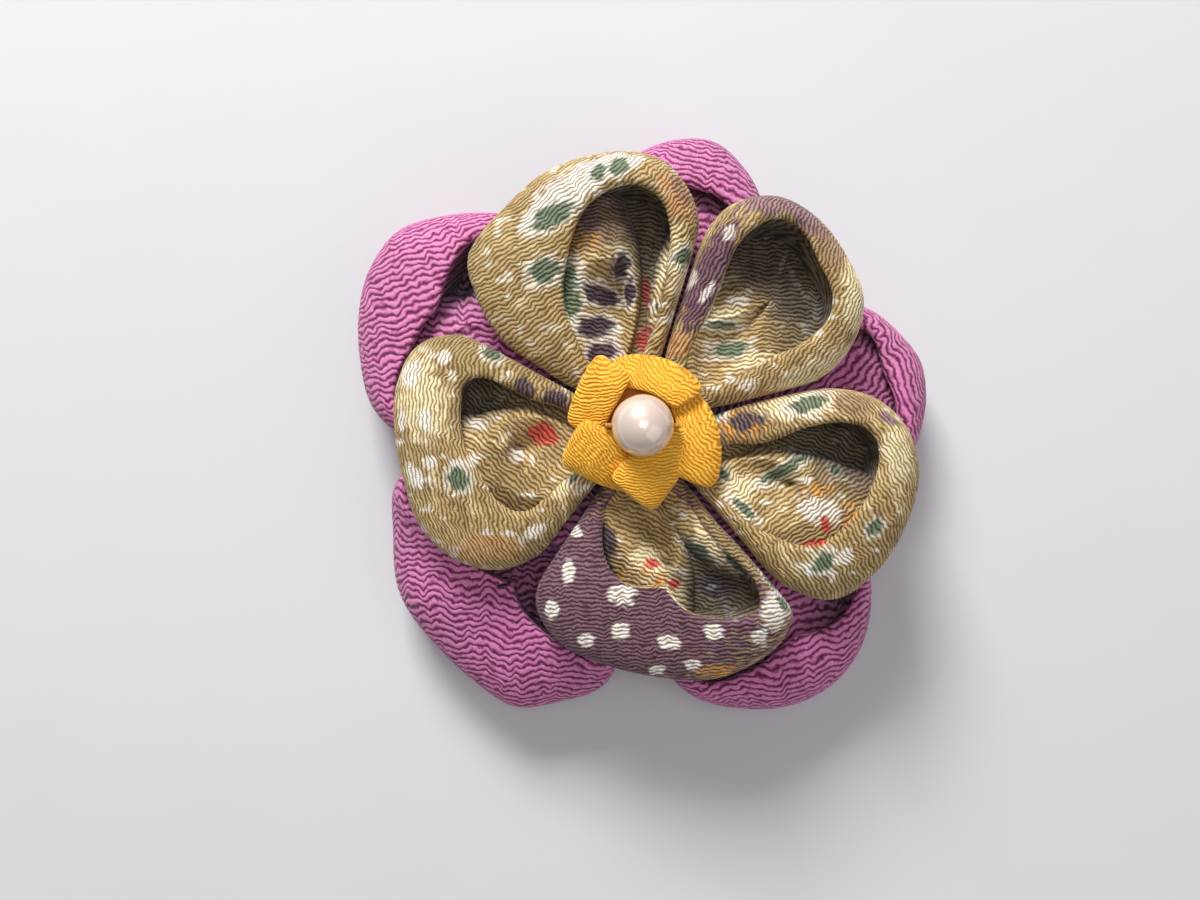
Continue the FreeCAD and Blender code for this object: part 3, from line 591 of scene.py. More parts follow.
def petal_grid(form, layer):
    """Grid of a petal before its crepe: lining from the middle to the crest, band, underside; in mm."""
    grain = layer["grain"]
    centre = np.array(form["middle"], dtype=float)
    columns = int(2 * math.pi * form["girth"] / grain)
    angles = np.linspace(-math.pi, math.pi, columns, endpoint=False) + 1e-4
    edge = round_curve(form["edge"], centre, angles)
    limit = sector_reach(centre, angles, *form["sector"])
    edge = edge - np.logaddexp(0, (edge - limit) / 0.35) * 0.35
    crest = round_curve(form["crest"], centre, angles)
    crest = np.minimum(crest, edge - 0.9)
    cos, sin = np.cos(angles)[None], np.sin(angles)[None]

    def spot(radius):
        """Plan place of points at distances from the middle, one for each direction."""
        return centre[0] + radius * cos, centre[1] + radius * sin

    crest_height = layer["tip_rim"] + (np.hypot(*spot(crest[None])) - layer["tip_at"]) * layer["rim_slope"]
    # lining, from the middle out to the crest
    share = np.linspace(0.02, 1, 300)[:, None] ** 0.8
    radius = share * crest[None]
    x, y = spot(radius)
    inward = crest[None] - radius
    roll = layer["roll"]
    rolled = np.clip(inward / roll, 0, 1)
    wall = crest_height - roll * (1 - np.sqrt(1 - rolled**2))
    wall = wall - np.maximum(inward - roll, 0) * layer["steepness"]
    ramp = form.get("floor_ramp", (0.0, 0.0))
    heights = [form["floor"] + (x - centre[0]) * ramp[0] + (y - centre[1]) * ramp[1]]
    heights += [dome(x, y, lobe) for lobe in form["lobes"]]
    heights = [wall] + [np.minimum(h, crest_height - 0.15 - 0.1 * inward) for h in heights]
    stack = np.stack(heights)
    height = np.maximum(stack.max(axis=0), np.minimum(underside(x, y, form, layer) + 0.7, crest_height - 0.3))
    depth = np.clip((crest_height - height - 0.7) / 2.2, 0, 1)
    near_wall = np.clip(1 - (inward - roll) / 2.4, 0, 1)
    reach_under = np.minimum(layer["undercut"], 0.5 * (edge - crest))[None]
    radius = radius + reach_under * depth**2 * (3 - 2 * depth) * near_wall
    x, y = spot(radius)
    lining = np.stack([x, y, height, stack.argmax(axis=0)], axis=-1)
    # band, from the crest out to the widest line
    edge_foot = foot_height(*spot(edge[None]), form, layer)
    belly = edge_foot + BELLY_SHARE * (crest_height - edge_foot)
    turn = np.linspace(0, math.pi / 2, 90)[:, None]
    radius = crest[None] + (edge - crest)[None] * np.sin(turn) ** 1.12
    x, y = spot(radius)
    height = belly + (crest_height - belly) * np.cos(turn) ** 0.9
    band = np.stack([x, y, height, np.zeros_like(height)], axis=-1)
    # underside, from the widest line in to the middle
    inset = np.minimum(layer["foot_inset"], edge * 0.6)
    turn = np.linspace(0, math.pi / 2, 60)[:, None]
    radius = (edge - inset)[None] + inset[None] * np.cos(turn)
    last = np.linspace(1, 0.02, 80)[1:, None] * (edge - inset)[None]
    x, y = spot(np.concatenate([radius, last]))
    drop = np.concatenate([np.sin(turn) + np.zeros_like(radius), np.ones_like(last)])
    height = belly + (foot_height(x, y, form, layer) - belly) * drop
    if layer["over_backing"]:
        height = np.maximum(height, clearance_height(x, y))
    under = np.stack([x, y, height, np.zeros_like(height)], axis=-1)
    counts = []
    for stretch, spacing in ((lining, 1.0), (band, 0.9), (under, 2.6)):
        ways = np.linalg.norm(np.diff(stretch[..., :3], axis=0), axis=2).sum(axis=0)
        counts.append(int(np.percentile(ways, 65) / (grain * spacing)))
    parts = [even_rows(lining, counts[0]), even_rows(band, counts[1])[1:], even_rows(under, counts[2])[1:]]
    return np.concatenate(parts), counts, crest, angles, centre, crest_height[0]


def lay_crepe(points, counts, crest, angles, centre, form):
    """Cloth coordinates of every point: unrolled over the crest for the band, plain for each lobe."""
    x, y, region = points[..., 0], points[..., 1], np.rint(points[..., 3]).astype(int)
    steps = np.linalg.norm(np.diff(points[..., :3], axis=0), axis=2)
    way = np.concatenate([np.zeros((1, len(angles))), np.cumsum(steps, axis=0)])
    way = way - way[counts[0] - 1][None]
    reach = crest[None] + way
    unrolled_x = centre[0] + reach * np.cos(angles)[None]
    unrolled_y = centre[1] + reach * np.sin(angles)[None]
    along, across = turned(unrolled_x, unrolled_y, form["band_turn"])
    across = across + form.get("band_bow", 0.0) * (along - form.get("bow_at", 0.0)) ** 2
    for number, turn in enumerate([form["floor_turn"]] + [lobe["ridges"] for lobe in form["lobes"]], 1):
        lobe_along, lobe_across = turned(x, y, turn)
        along = np.where(region == number, lobe_along + 7.3 * number, along)
        across = np.where(region == number, lobe_across + 3.1 * number, across)
    return along, across


def petal(name, form, layer, paint, material, seed):
    """One folded petal as a piece of crepe that takes the place of its CAD solid."""
    points, counts, crest, angles, centre, crest_height = petal_grid(form, layer)
    places = soften(points[..., :3], 2)
    points = np.concatenate([places, points[..., 3:]], axis=2)
    along, across = lay_crepe(points, counts, crest, angles, centre, form)
    pitch = getattr(settings(), layer["pitch"]) / MM
    phase = crepe_phase(along, across, pitch, seed)
    rise = (ridge_height(phase) - 0.5) * settings().ridge_height / MM
    rise[:2] = 0
    rise[-6:] = 0
    lined = np.arange(len(places))[:, None] < counts[0] - round(BORDER / layer["grain"])
    tint, glint = paint(places[..., 0], places[..., 1], along, across, lined)
    # painted shade: each pocket's dye darkens with depth below its crest
    depth = np.clip((crest_height[None] - places[..., 2] - PAINTED_SHADE_TOP) / PAINTED_SHADE_DEPTH, 0, 1) * lined
    tint = tint * (1 - PAINTED_POCKET_SHADE * depth**0.8)[..., None]
    places = places + grid_normals(places) * rise[..., None]
    piece = cloth_piece(name, places, np.stack([along, across], axis=-1), phase, tint, glint, material)
    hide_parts(name.replace("crepe_", ""))
    return piece


# ---- shapes of the petals, in mm

OUTER_LAYER = dict(
    slot="purple_crepe",
    pitch="outer_pitch",
    grain=0.24,
    tip_rim=OUTER_TOP - 0.6,
    tip_at=8.0,
    rim_slope=0.0,
    roll=0.8,
    steepness=4.0,
    undercut=1.4,
    tip_foot=OUTER_TOP - 1.7,
    end_foot=OUTER_FOOT + 0.15,
    foot_inset=4.4,
    over_backing=True,
)
INNER_LAYER = dict(
    slot="print_crepe",
    pitch="print_pitch",
    grain=0.18,
    tip_rim=INNER_FOOT + 3.3,
    tip_at=7.4,
    rim_slope=(INNER_TOP - INNER_FOOT - 3.8) / 21,
    roll=0.9,
    steepness=5.0,
    undercut=1.8,
    tip_foot=INNER_FOOT + 0.55,
    end_foot=INNER_FOOT + 0.2,
    foot_inset=3.6,
    over_backing=False,
)

OUTER_PETALS = [
    dict(
        sector=(42, 116), middle=(6.0, 27.0), girth=10, cut=1750,
        edge=[(-0.1, 34.6), (4.9, 36.4), (9.3, 36.2), (13, 33.2), (15.4, 28.9), (15.4, 22), (5.6, 6.4),
              (1.4, 6.4), (-4, 22), (-4.4, 29)],
        crest=[(-2.5, 30), (2.4, 31), (7.3, 29.8), (11.5, 27.2), (13, 22), (8, 13), (2, 14), (-2, 22)],
        floor=6.5, floor_turn=-10, band_turn=-15, lobes=[
            dict(at=(5, 21), size=(9, 8.5), turn=0, top=12.2, base=7, ridges=-10)],
    ),
    dict(
        sector=(-24, 42), middle=(25.0, 5.5), girth=11, cut=2050,
        edge=[(27.7, 15.4), (33.1, 11.6), (35.6, 8.2), (36.2, 4.4), (35.6, 0), (34, -4), (30, -8.6),
              (22, -7.6), (5.6, -1), (5.6, 3), (14, 11), (22, 15.6)],
        crest=[(25, 13.6), (28, 12.4), (30.6, 7), (32.0, 0), (30, -5), (22, -6), (13, -1.5), (13, 4),
               (18, 11)],
        floor=9.6, floor_turn=65, band_turn=112, lobes=[
            dict(at=(22, 3), size=(9, 9.5), turn=0, top=12.4, base=9.6, ridges=50)],
    ),
    dict(
        sector=(-92, -24), middle=(15.5, -21.5), girth=12, cut=2350,
        edge=[(29, -19.4), (28.1, -27.6), (25, -32), (19.9, -34.9), (13.7, -35.5), (6.1, -33.2), (2, -28),
              (1.5, -18), (2.4, -5.4), (6.0, -4.6), (18, -9.6), (27, -13)],
        crest=[(27.4, -18), (26.7, -21.5), (19.4, -26.3), (12.1, -31), (6.7, -31.6), (4, -27), (4, -18),
               (7, -11), (18, -12), (25, -14)],
        floor=5.5, floor_turn=15, band_turn=14, lobes=[
            dict(at=(15, -20), size=(10.5, 10.5), turn=0, top=11.8, base=6, ridges=20)],
    ),
    dict(
        sector=(-171, -92), middle=(-15.5, -19.0), girth=13, cut=2850,
        edge=[(-30.4, -7.0), (-31, -13), (-30.6, -20), (-25.6, -27.6), (-20.2, -32.6), (-15.8, -35.3),
              (-10.2, -34.7), (-4.3, -32.2), (-2, -26), (-2, -12), (-7, -4), (-18, -3), (-27, -3.8)],
        crest=[(-29.0, -7), (-28.1, -10.3), (-23.0, -15.2), (-18.0, -19.8), (-12.7, -24.7), (-8.5, -27.5),
               (-4.3, -29.0), (-3.4, -24), (-4, -12), (-9, -6), (-18, -4.6), (-26, -5)],
        floor=5.5, floor_turn=5, band_turn=-2, lobes=[
            dict(at=(-14, -15), size=(12, 10), turn=-45, top=9.8, base=5.5, ridges=5)],
    ),
    dict(
        sector=(116, 189), middle=(-21.5, 12.5), girth=12.5, cut=2850,
        edge=[(-14.5, 26.4), (-18.1, 26.9), (-25.2, 26.7), (-30.2, 25.1), (-33.8, 20.7), (-35.5, 13.8),
              (-35.3, 8.8), (-33, 1.9), (-26, -2.6), (-14, -1.6), (-5, 2.5), (-5, 8), (-8, 16)],
        crest=[(-14.6, 24.6), (-17.1, 24.4), (-20.8, 23.2), (-23.0, 20.6), (-24.2, 18.4), (-27.1, 12.8),
               (-28.6, 9.5), (-30.2, 2.6), (-24, -1), (-14, 0), (-8, 4), (-8, 8), (-11, 16)],
        floor=5.5, floor_turn=3, band_turn=24, band_bow=-0.004, lobes=[
            dict(at=(-18.5, 10), size=(11, 7.4), turn=0, top=12.3, base=6, ridges=2)],
    ),
]

INNER_PETALS = [
    dict(
        sector=(73, 152), middle=(-3.4, 19.5), girth=11.5, cut=1500,
        edge=[(-20.6, 20.4), (-19, 23.1), (-16.7, 25.6), (-12, 29.8), (-7.2, 31.8), (-2.2, 32.5),
              (2.2, 31.6), (5.4, 28.4), (6.9, 24.3), (6.4, 18.9), (4.6, 13), (2, 6.5), (-2.2, 3.4),
              (-6.2, 3.4), (-12.2, 7.0), (-17, 10.8), (-19.8, 15.8)],
        crest=[(-5.4, 6.0), (-8.2, 10.2), (-9.8, 14.6), (-9.8, 18.7), (-8.7, 23.0), (-6.4, 26.6),
               (-3.6, 28.3), (0, 28.6), (2.6, 27), (4.0, 23.7), (4.0, 19.9), (3.0, 15.2), (1.6, 10.6),
               (-1.6, 5.6)],
        floor=14.6, floor_turn=-8, band_turn=30, band_bow=-0.006, bow_at=-4, lobes=[
            dict(at=(-4.9, 15.8), size=(12.0, 4.9), turn=86, top=19.9, base=14.2, ridges=-12, tilt=0.03),
            dict(at=(3.4, 15.6), size=(10.5, 2.6), turn=82, top=19.2, base=14.2, ridges=-60, tilt=0.08)],
    ),
    dict(
        sector=(13, 73), middle=(15.6, 15.2), girth=9.5, cut=1150,
        edge=[(2.9, 9.5), (4.6, 15.2), (7.2, 22.3), (11.1, 26.5), (15.3, 27.2), (20, 25.1), (24.1, 20.3),
              (26.3, 14.2), (24.9, 9.5), (21.3, 5.7), (15.3, 3.5), (8.8, 2.0), (4.2, 2.2), (2.8, 4.6)],
        crest=[(6.6, 11.8), (8.0, 15.5), (9.2, 18.9), (10.6, 21.7), (12.7, 23.7), (15.0, 24.8),
               (17.6, 24.3), (19.6, 22.3), (21.2, 19.4), (22.4, 17.1), (23.0, 14.9), (22.6, 12.4),
               (21.0, 10.3), (18.4, 8.5), (15.2, 7.2), (11.6, 5.6), (8.4, 4.4), (5.4, 4.6), (5.0, 7.6)],
        floor=16.0, floor_ramp=(-0.16, -0.22), floor_turn=0, band_turn=62, lobes=[]),
    dict(
        sector=(-50, 13), middle=(18.5, -7.0), girth=10.5, cut=1350,
        edge=[(7.6, 0.9), (14.1, 3.6), (22.4, 4.6), (28.3, 3.0), (31.9, -1.2), (32.8, -5.9), (31.3, -11.8),
              (27.7, -17.4), (22.4, -20.6), (17.6, -19.2), (11.9, -13.6), (7.2, -8.2), (4.6, -4.6),
              (4.2, -0.6)],
        crest=[(8.0, -2.4), (12.6, -1.5), (15.9, -0.6), (18.8, 0.5), (21.8, 1.1), (24.7, 1.0), (26.7, 0.2),
               (28.0, -1.6), (28.2, -4.3), (27.6, -6.6), (26.6, -9.1), (24.8, -11.4), (22.7, -13.5),
               (20.3, -14.6), (17.3, -14.6), (15.2, -13.7), (12.9, -12.3), (10.6, -10.4), (8.2, -7.8),
               (7.0, -5.0)],
        floor=14.8, floor_turn=-30, band_turn=-60, lobes=[
            dict(at=(17.6, -9.4), size=(11.6, 6.4), turn=-6, top=20.3, base=14.8, ridges=33, tilt=0.08)],
    ),
    dict(
        sector=(-124, -50), middle=(3.4, -17.0), girth=10.5, cut=1350,
        edge=[(-4.6, -6.2), (-8.8, -11.8), (-11.8, -16.8), (-12.5, -21.5), (-10.2, -25.4), (-4.9, -28.2),
              (2.2, -29.9), (8.2, -30.1), (12.9, -28.4), (17, -24.9), (17.9, -20.7), (15.3, -17.4),
              (10.7, -12.8), (6.0, -7.2), (3.0, -4.2), (-2.2, -4.2)],
        crest=[(-4.4, -8.2), (-5.4, -12.3), (-5.0, -15.8), (-3.6, -18.1), (0.9, -19.2), (3.9, -20.9),
               (6.0, -22.5), (9.3, -23.0), (12.5, -22.7), (14.4, -21.4), (14.4, -19.2), (11.9, -15.6),
               (8.9, -12.0), (5.6, -8.4), (1.6, -6.2), (-2.4, -6.2)],
        floor=14.6, floor_turn=-12, band_turn=2, lobes=[
            dict(at=(0.2, -13.4), size=(9.8, 4.3), turn=-60, top=18.7, base=14.4, ridges=-25, tilt=0.07),
            dict(at=(7.6, -12.0), size=(7.6, 3.1), turn=-50, top=18.2, base=14.4, ridges=-14, tilt=0.0)],
    ),
    dict(
        sector=(152, 236), middle=(-15.4, -2.4), girth=10.5, cut=1300,
        edge=[(-6.0, 2.9), (-12, 7.0), (-16.7, 9.9), (-22, 11.0), (-26.7, 9.5), (-29.0, 5.3), (-29.4, 0),
              (-28.4, -5.9), (-26.4, -11.8), (-22.6, -15.6), (-17.9, -17.1), (-12.4, -15.4), (-9.0, -11.4),
              (-6.4, -8.2), (-4.0, -5.0), (-3.6, -0.6)],
        crest=[(-7.2, 1.3), (-13.2, 4.2), (-16.2, 5.6), (-18.6, 6.4), (-20.2, 6.3), (-21.4, 5.2),
               (-21.8, 3.1), (-22.0, 0.5), (-21.5, -2.6), (-20.3, -4.9), (-18.6, -7.8), (-16.8, -9.9),
               (-14.3, -10.9), (-12.4, -10.4), (-10.8, -8.9), (-8.8, -6.8), (-6.6, -5.2), (-5.8, -1.6)],
        floor=14.6, floor_turn=-40, band_turn=80, band_bow=0.02, bow_at=0, lobes=[
            dict(at=(-14.2, -4.0), size=(8.6, 6.0), turn=-14, top=20.2, base=14.6, ridges=-38, tilt=-0.10)],
    ),
]


# ---- the print: where each spot of colour lies on the petals, in mm; four of the brown and tan marks are painted shade, not print

BAND, LINING, BOTH = "band", "lining", "both"
Mark = namedtuple("Mark", "style side x y length width turn")
# layers of each style: colour, size against the mark's, and strength
STYLES = {
    "leaf": [(WHITE, 1.45, 0.55), (LEAF, 1.0, 0.9)],
    "blossom": [(WHITE, 1.3, 0.75), (PLUM, 1.0, 1.0)],
    "plum": [(PLUM, 1.0, 0.95)],
    "dot": [(WHITE, 1.0, 0.95), (BROWN, 0.35, 0.45)],
    "white": [(WHITE, 1.0, 0.7)],
    "cream": [(CREAM, 1.0, 0.85)],
    "olive": [(OLIVE, 1.0, 0.85)],
    "mauve": [(MAUVE, 1.0, 0.9)],
    "dusk": [(DUSK, 1.0, 1.0)],
    "brown": [(BROWN, 1.0, 0.7)],
    "tan": [(TAN, 1.0, 0.8)],
    "red": [(RED, 1.0, 0.95)],
    "gold": [(BROWN, 1.2, 0.35)],
}
SPECKLED = "gold"  # the style with metal grains
PRINTS = [
    {
        BAND: [
            ("white", -9.0, 26.8, 7.5, 2.6, 38), ("white", -3.0, 30.4, 3.8, 1.4, 12),
            ("leaf", -4.9, 29.4, 1.5, 0.9, 40), ("leaf", -2.7, 30.2, 1.4, 1.2, 60),
            ("leaf", -10.2, 24.6, 3.0, 1.5, 28), ("leaf", -11.4, 18.1, 2.1, 1.6, 20),
            ("tan", 4.2, 26.8, 2.2, 3.6, 35), ("brown", 4.4, 27.4, 1.0, 2.6, 35),
            ("cream", 4.6, 18.5, 1.8, 5.4, 8), ("leaf", 4.9, 19.9, 1.5, 1.1, 30),
        ],
        LINING: [
            # the first brown mark on the next line is painted shade under the crest at the top of the lining,
            # not print
            ("brown", -3.6, 24.4, 5.0, 3.2, 20), ("mauve", -6.2, 24.2, 1.6, 1.6, 0),
            ("gold", -7.6, 21.6, 2.6, 1.6, 10), ("leaf", -8.4, 15.9, 1.6, 3.6, 0),
            ("blossom", -2.3, 19.0, 1.1, 1.7, -8), ("blossom", -4.7, 15.6, 2.5, 1.4, -18),
            ("blossom", -1.3, 16.0, 0.7, 1.8, 0), ("blossom", -5.6, 11.9, 2.7, 1.5, 8),
            ("blossom", -5.0, 8.7, 2.5, 1.4, 18), ("cream", 2.8, 16.5, 1.5, 6.0, 8),
            ("red", 0.7, 16.3, 0.7, 2.2, 8), ("leaf", 2.4, 14.1, 1.1, 0.8, 0),
            ("red", 0.8, 10.2, 1.5, 2.0, 10),
        ],
        BOTH: [
            ("tan", 3.4, 9.6, 1.4, 1.2, 0),
        ],
    },
    {
        BAND: [
            ("dusk", 8.0, 17.6, 8.4, 2.6, 66), ("white", 10.2, 22.4, 1.2, 0.7, 60),
            ("white", 5.8, 17.4, 1.6, 0.8, 70), ("white", 7.6, 15.6, 1.8, 0.6, 60),
            ("tan", 4.4, 9.6, 2.0, 1.6, 40), ("mauve", 14.6, 25.8, 3.8, 1.6, 0),
            ("mauve", 19.2, 23.8, 3.6, 1.6, -45), ("brown", 21.6, 20.6, 3.0, 1.6, -62),
            ("cream", 24.6, 15.0, 1.8, 5.0, 8), ("cream", 20.6, 6.6, 6.0, 1.8, 28),
        ],
        LINING: [
            # the first brown mark on the next line is painted shade over the upper half of the floor, not
            # print
            ("brown", 14.9, 20.4, 6.0, 4.2, 20), ("brown", 17.4, 13.4, 3.0, 1.8, 5),
            ("white", 18.6, 17.6, 0.4, 2.4, 24), ("white", 17.2, 20.0, 0.3, 1.8, -20),
            ("white", 20.2, 15.8, 1.0, 0.4, 40), ("cream", 9.6, 12.8, 3.2, 2.2, 0),
            ("white", 11.6, 15.0, 1.6, 0.8, 0), ("leaf", 9.4, 12.0, 2.3, 0.5, 0),
            ("leaf", 10.6, 9.2, 2.5, 1.0, 10), ("cream", 13.4, 7.6, 3.4, 1.2, 15),
        ],
    },
    {
        BAND: [
            ("brown", 11.4, -0.2, 3.8, 1.8, 18), ("gold", 11.4, -0.2, 3.6, 1.9, 18),
            ("plum", 12.0, 0.7, 1.5, 1.3, 20), ("plum", 14.0, 1.2, 0.8, 1.1, 0),
            ("leaf", 9.2, 2.0, 1.3, 1.1, 30), ("cream", 18.4, 2.4, 5.0, 1.8, 8),
            ("leaf", 19.6, 2.7, 2.8, 1.0, 18), ("brown", 24.6, 2.6, 3.0, 1.5, -8),
            ("cream", 29.6, -3.4, 2.0, 4.6, 8), ("mauve", 28.4, 1.0, 1.4, 0.8, -30),
            ("leaf", 26.8, -11.8, 1.2, 0.9, 40), ("leaf", 21.0, -15.8, 1.7, 1.1, 40),
            ("white", 23.4, -15.2, 1.4, 1.0, 30),
        ],
        LINING: [
            ("cream", 11.6, -7.4, 2.4, 2.2, 20), ("leaf", 16.9, -5.2, 3.4, 0.8, 32),
            ("leaf", 9.6, -5.6, 1.4, 0.7, -40), ("leaf", 12.0, -9.6, 2.2, 0.6, -42),
            ("leaf", 22.8, -5.1, 0.8, 0.7, 0), ("gold", 20.6, -7.4, 3.0, 1.1, 22),
            ("white", 20.8, -9.8, 3.0, 1.9, -20), ("gold", 24.2, -10.0, 0.9, 1.9, -20),
            ("red", 21.4, -11.5, 0.55, 1.3, 12), ("red", 20.2, -13.6, 1.6, 0.4, 10),
            # painted shade at the edge of the lining, not print
            ("brown", 25.8, -6.0, 1.8, 3.0, 10),
        ],
    },
    {
        BAND: [
            ("dusk", -3.0, -20.0, 24.0, 16.0, 0), ("olive", 10.6, -12.6, 7.4, 2.4, -48),
            ("white", 15.6, -21.4, 2.0, 2.4, 0), ("leaf", 15.4, -18.2, 1.6, 0.7, -50),
            ("leaf", 16.4, -20.8, 1.3, 0.6, -50), ("dot", -8.6, -17.2, 0.9, 1.5, 0),
            ("dot", -2.4, -19.7, 1.8, 1.4, -10), ("dot", -10.6, -21.7, 1.0, 1.1, 0),
            ("dot", -2.6, -24.0, 1.3, 1.2, 0), ("dot", -6.6, -25.2, 1.2, 1.0, 0),
            ("dot", 3.2, -25.3, 1.5, 1.0, 0), ("dot", 8.3, -24.0, 1.2, 1.1, 20),
            ("dot", 13.6, -24.4, 1.1, 0.9, 30), ("dot", -8.0, -12.4, 1.3, 0.7, -20),
            ("dot", 6.0, -28.0, 1.1, 0.8, 0), ("dot", 1.8, -28.8, 1.2, 0.7, 0),
            ("tan", 8.9, -28.7, 2.6, 1.0, 10), ("gold", 8.9, -28.9, 2.6, 0.9, 10),
        ],
        LINING: [
            ("plum", -4.0, -13.6, 1.3, 2.2, 10), ("cream", 0.6, -16.2, 2.8, 2.4, -30),
            ("olive", 0.6, -12.0, 1.2, 2.4, 20), ("cream", 3.8, -20.0, 1.8, 2.4, 20),
            ("gold", -1.2, -17.6, 2.4, 0.8, 8), ("gold", 2.2, -18.6, 0.7, 1.6, 0),
            ("red", 1.2, -16.3, 1.0, 0.7, 0), ("red", 3.8, -18.5, 0.9, 0.7, 0),
            ("cream", 8.0, -12.6, 3.6, 1.6, -50), ("leaf", 7.0, -15.0, 2.4, 0.9, -40),
            ("leaf", 11.0, -16.0, 2.2, 0.8, -45), ("dusk", 9.0, -19.2, 2.8, 1.8, -20),
            ("dot", 8.4, -19.4, 0.7, 0.5, 0),
        ],
    },
    {
        BAND: [
            ("cream", -25.6, 3.0, 3.2, 5.6, 10), ("white", -27.2, 6.2, 1.3, 2.0, -20),
            ("white", -23.2, 8.0, 1.1, 1.0, 0), ("white", -25.4, 0.7, 0.9, 1.6, 10),
            ("white", -28.2, 0.6, 0.7, 1.4, 0), ("white", -26.6, -6.1, 1.1, 1.5, 20),
            ("white", -24.8, -4.3, 1.0, 1.0, 0), ("leaf", -17.6, 8.6, 1.0, 1.3, 30),
            ("leaf", -21.4, -6.2, 1.5, 1.6, 0), ("plum", -13.8, 4.5, 1.6, 1.2, -20),
            ("plum", -10.2, 3.2, 1.9, 1.3, -25), ("mauve", -8.2, 2.0, 1.4, 0.8, -25),
            # the tan mark on the next line is painted shade along the lower part of the band, not print
            ("white", -12.6, -12.2, 1.4, 0.9, 20), ("tan", -18.0, -14.4, 4.6, 1.8, 0),
            ("cream", -8.8, -7.0, 2.2, 1.3, 40), ("leaf", -8.0, -6.0, 1.0, 0.5, 60),
        ],
        LINING: [
            ("white", -14.8, -3.4, 1.1, 1.1, 0), ("red", -11.7, -1.0, 2.1, 1.5, -25),
            ("white", -19.4, 0.2, 1.8, 0.8, -20),
        ],
    },
]
for petal_form, sides in zip(INNER_PETALS, PRINTS):
    petal_form["print"] = [Mark(style, side, *shape) for side in sides for style, *shape in sides[side]]


# head and tail of each folded strip of the centre, with a point between them, in mm
CENTRE_FOLDS = [
    dict(
        way=[(-7.0, -0.6), (-5.1, 3.9), (-3.0, 7.2)],
        widths=(4.4, 5.0, 5.0), lifts=(0.5, 1.5, 2.3, 2.1), ridges=14,
    ),
    dict(
        way=[(-3.4, 6.3), (2.0, 5.8), (5.6, 2.9)],
        widths=(3.8, 4.4, 4.6), lifts=(0.5, 1.3, 2.0, 1.9), ridges=-34,
    ),
    dict(
        way=[(4.2, 4.0), (6.7, -1.0), (5.9, -6.7)],
        widths=(3.6, 4.8, 5.8), lifts=(0.5, 1.2, 1.2, 0.8), ridges=-58,
    ),
    dict(
        way=[(5.2, -0.7), (1.7, -4.5), (-1.4, -8.3)],
        widths=(3.0, 6.2, 6.8), lifts=(2.0, 2.3, 2.5, 2.2), ridges=-14,
    ),
    dict(
        way=[(1.8, -6.3), (-3.4, -4.1), (-8.5, -1.6)],
        widths=(4.8, 6.2, 6.2), lifts=(0.5, 1.5, 2.4, 2.2), ridges=-60,
    ),
]


def centre_fold(number, form, material):
    """One folded strip whose head lies over the tail of the next."""
    rows, columns = 112, 96
    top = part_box(f"centre_fold_{number}")[1][2] / MM
    share = np.linspace(0.0, 1.0, rows)[:, None]
    turn = np.linspace(0, 2 * math.pi, columns, endpoint=False)[None]
    start, middle, end = (np.array(point) for point in form["way"])
    knee = 2 * middle - (start + end) / 2
    pairs = list(zip(start, knee, end))
    spot = [(1 - share) ** 2 * a + 2 * share * (1 - share) * b + share**2 * c for a, b, c in pairs]
    slope = [2 * (1 - share) * (b - a) + 2 * share * (c - b) for a, b, c in pairs]
    length = np.hypot(slope[0], slope[1])
    side = (slope[1] / length, -slope[0] / length)
    ends = np.maximum(1 - abs(2 * share - 1) ** 9, 1e-4) ** (1 / 3.2)
    width = np.interp(share, [0, 0.5, 1], form["widths"]) / 2 * ends
    plump = np.interp(share, [0, 0.5, 1], [0.6, 1.05, 1.2]) * ends**0.7
    out = np.sign(np.cos(turn)) * abs(np.cos(turn)) ** 0.72
    up = np.sign(np.sin(turn)) * abs(np.sin(turn)) ** 0.8
    lift = np.interp(share, [0, 0.3, 0.65, 1], form["lifts"])
    inward = np.where(spot[0] * side[0] + spot[1] * side[1] > 0, -1.0, 1.0)
    lean = inward * out * width * 0.30
    x = spot[0] + side[0] * out * width
    y = spot[1] + side[1] * out * width
    z = PAD_TOP + lift + up * plump + lean
    z = np.minimum(z, top - 0.1)
    points = soften(np.stack(np.broadcast_arrays(x, y, z), axis=-1), 1)
    along, across = turned(points[..., 0], points[..., 1], form["ridges"])
    across = across + 0.6 * (points[..., 2] - PAD_TOP)
    phase = crepe_phase(along, across, settings().fold_pitch / MM, 500 + number)
    rise = (ridge_height(phase) - 0.5) * settings().ridge_height / MM * 1.2
    rise[:2] = rise[-2:] = 0
    points = points + grid_normals(points) * rise[..., None]
    tint = np.zeros(points.shape) + np.array(settings().yellow)
    name = f"crepe_centre_fold_{number}"
    weave = np.stack([along, across], axis=-1)
    piece = cloth_piece(name, points, weave, phase, tint, np.zeros_like(phase), material)
    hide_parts(f"centre_fold_{number}")
    return piece


def plain_paint(colour):
    """A cloth of one dye, with random tone and painted shade that darkens it towards the flower's middle."""

    def paint(x, y, along, across, lined):
        cloud = smooth_noise(x / 6.0, y / 6.0, 91)
        # painted shade: the dye darkens towards the flower's middle, under the overhanging inner petals
        clear_of_painted_shade = np.clip((np.hypot(x, y) - 9.0) / 9.0, 0, 1)
        share = (0.92 + 0.16 * cloud) * (0.22 + 0.78 * clear_of_painted_shade)
        return np.array(colour) * share[..., None], np.zeros_like(x)

    return paint


def soft_spot(x, y, along, across, mark, grow, seed):
    """Share, 0 to 1, of a printed spot whose edge is ragged along the ridges."""
    u, v = turned(x - mark.x, y - mark.y, mark.turn)
    ragged = smooth_noise(along / 0.9, across / 0.33, seed) - 0.5
    reach = np.sqrt((u / (mark.length * grow)) ** 2 + (v / (mark.width * grow)) ** 2)
    return np.clip((1.0 - reach + 0.55 * ragged) / 0.3, 0, 1)[..., None]


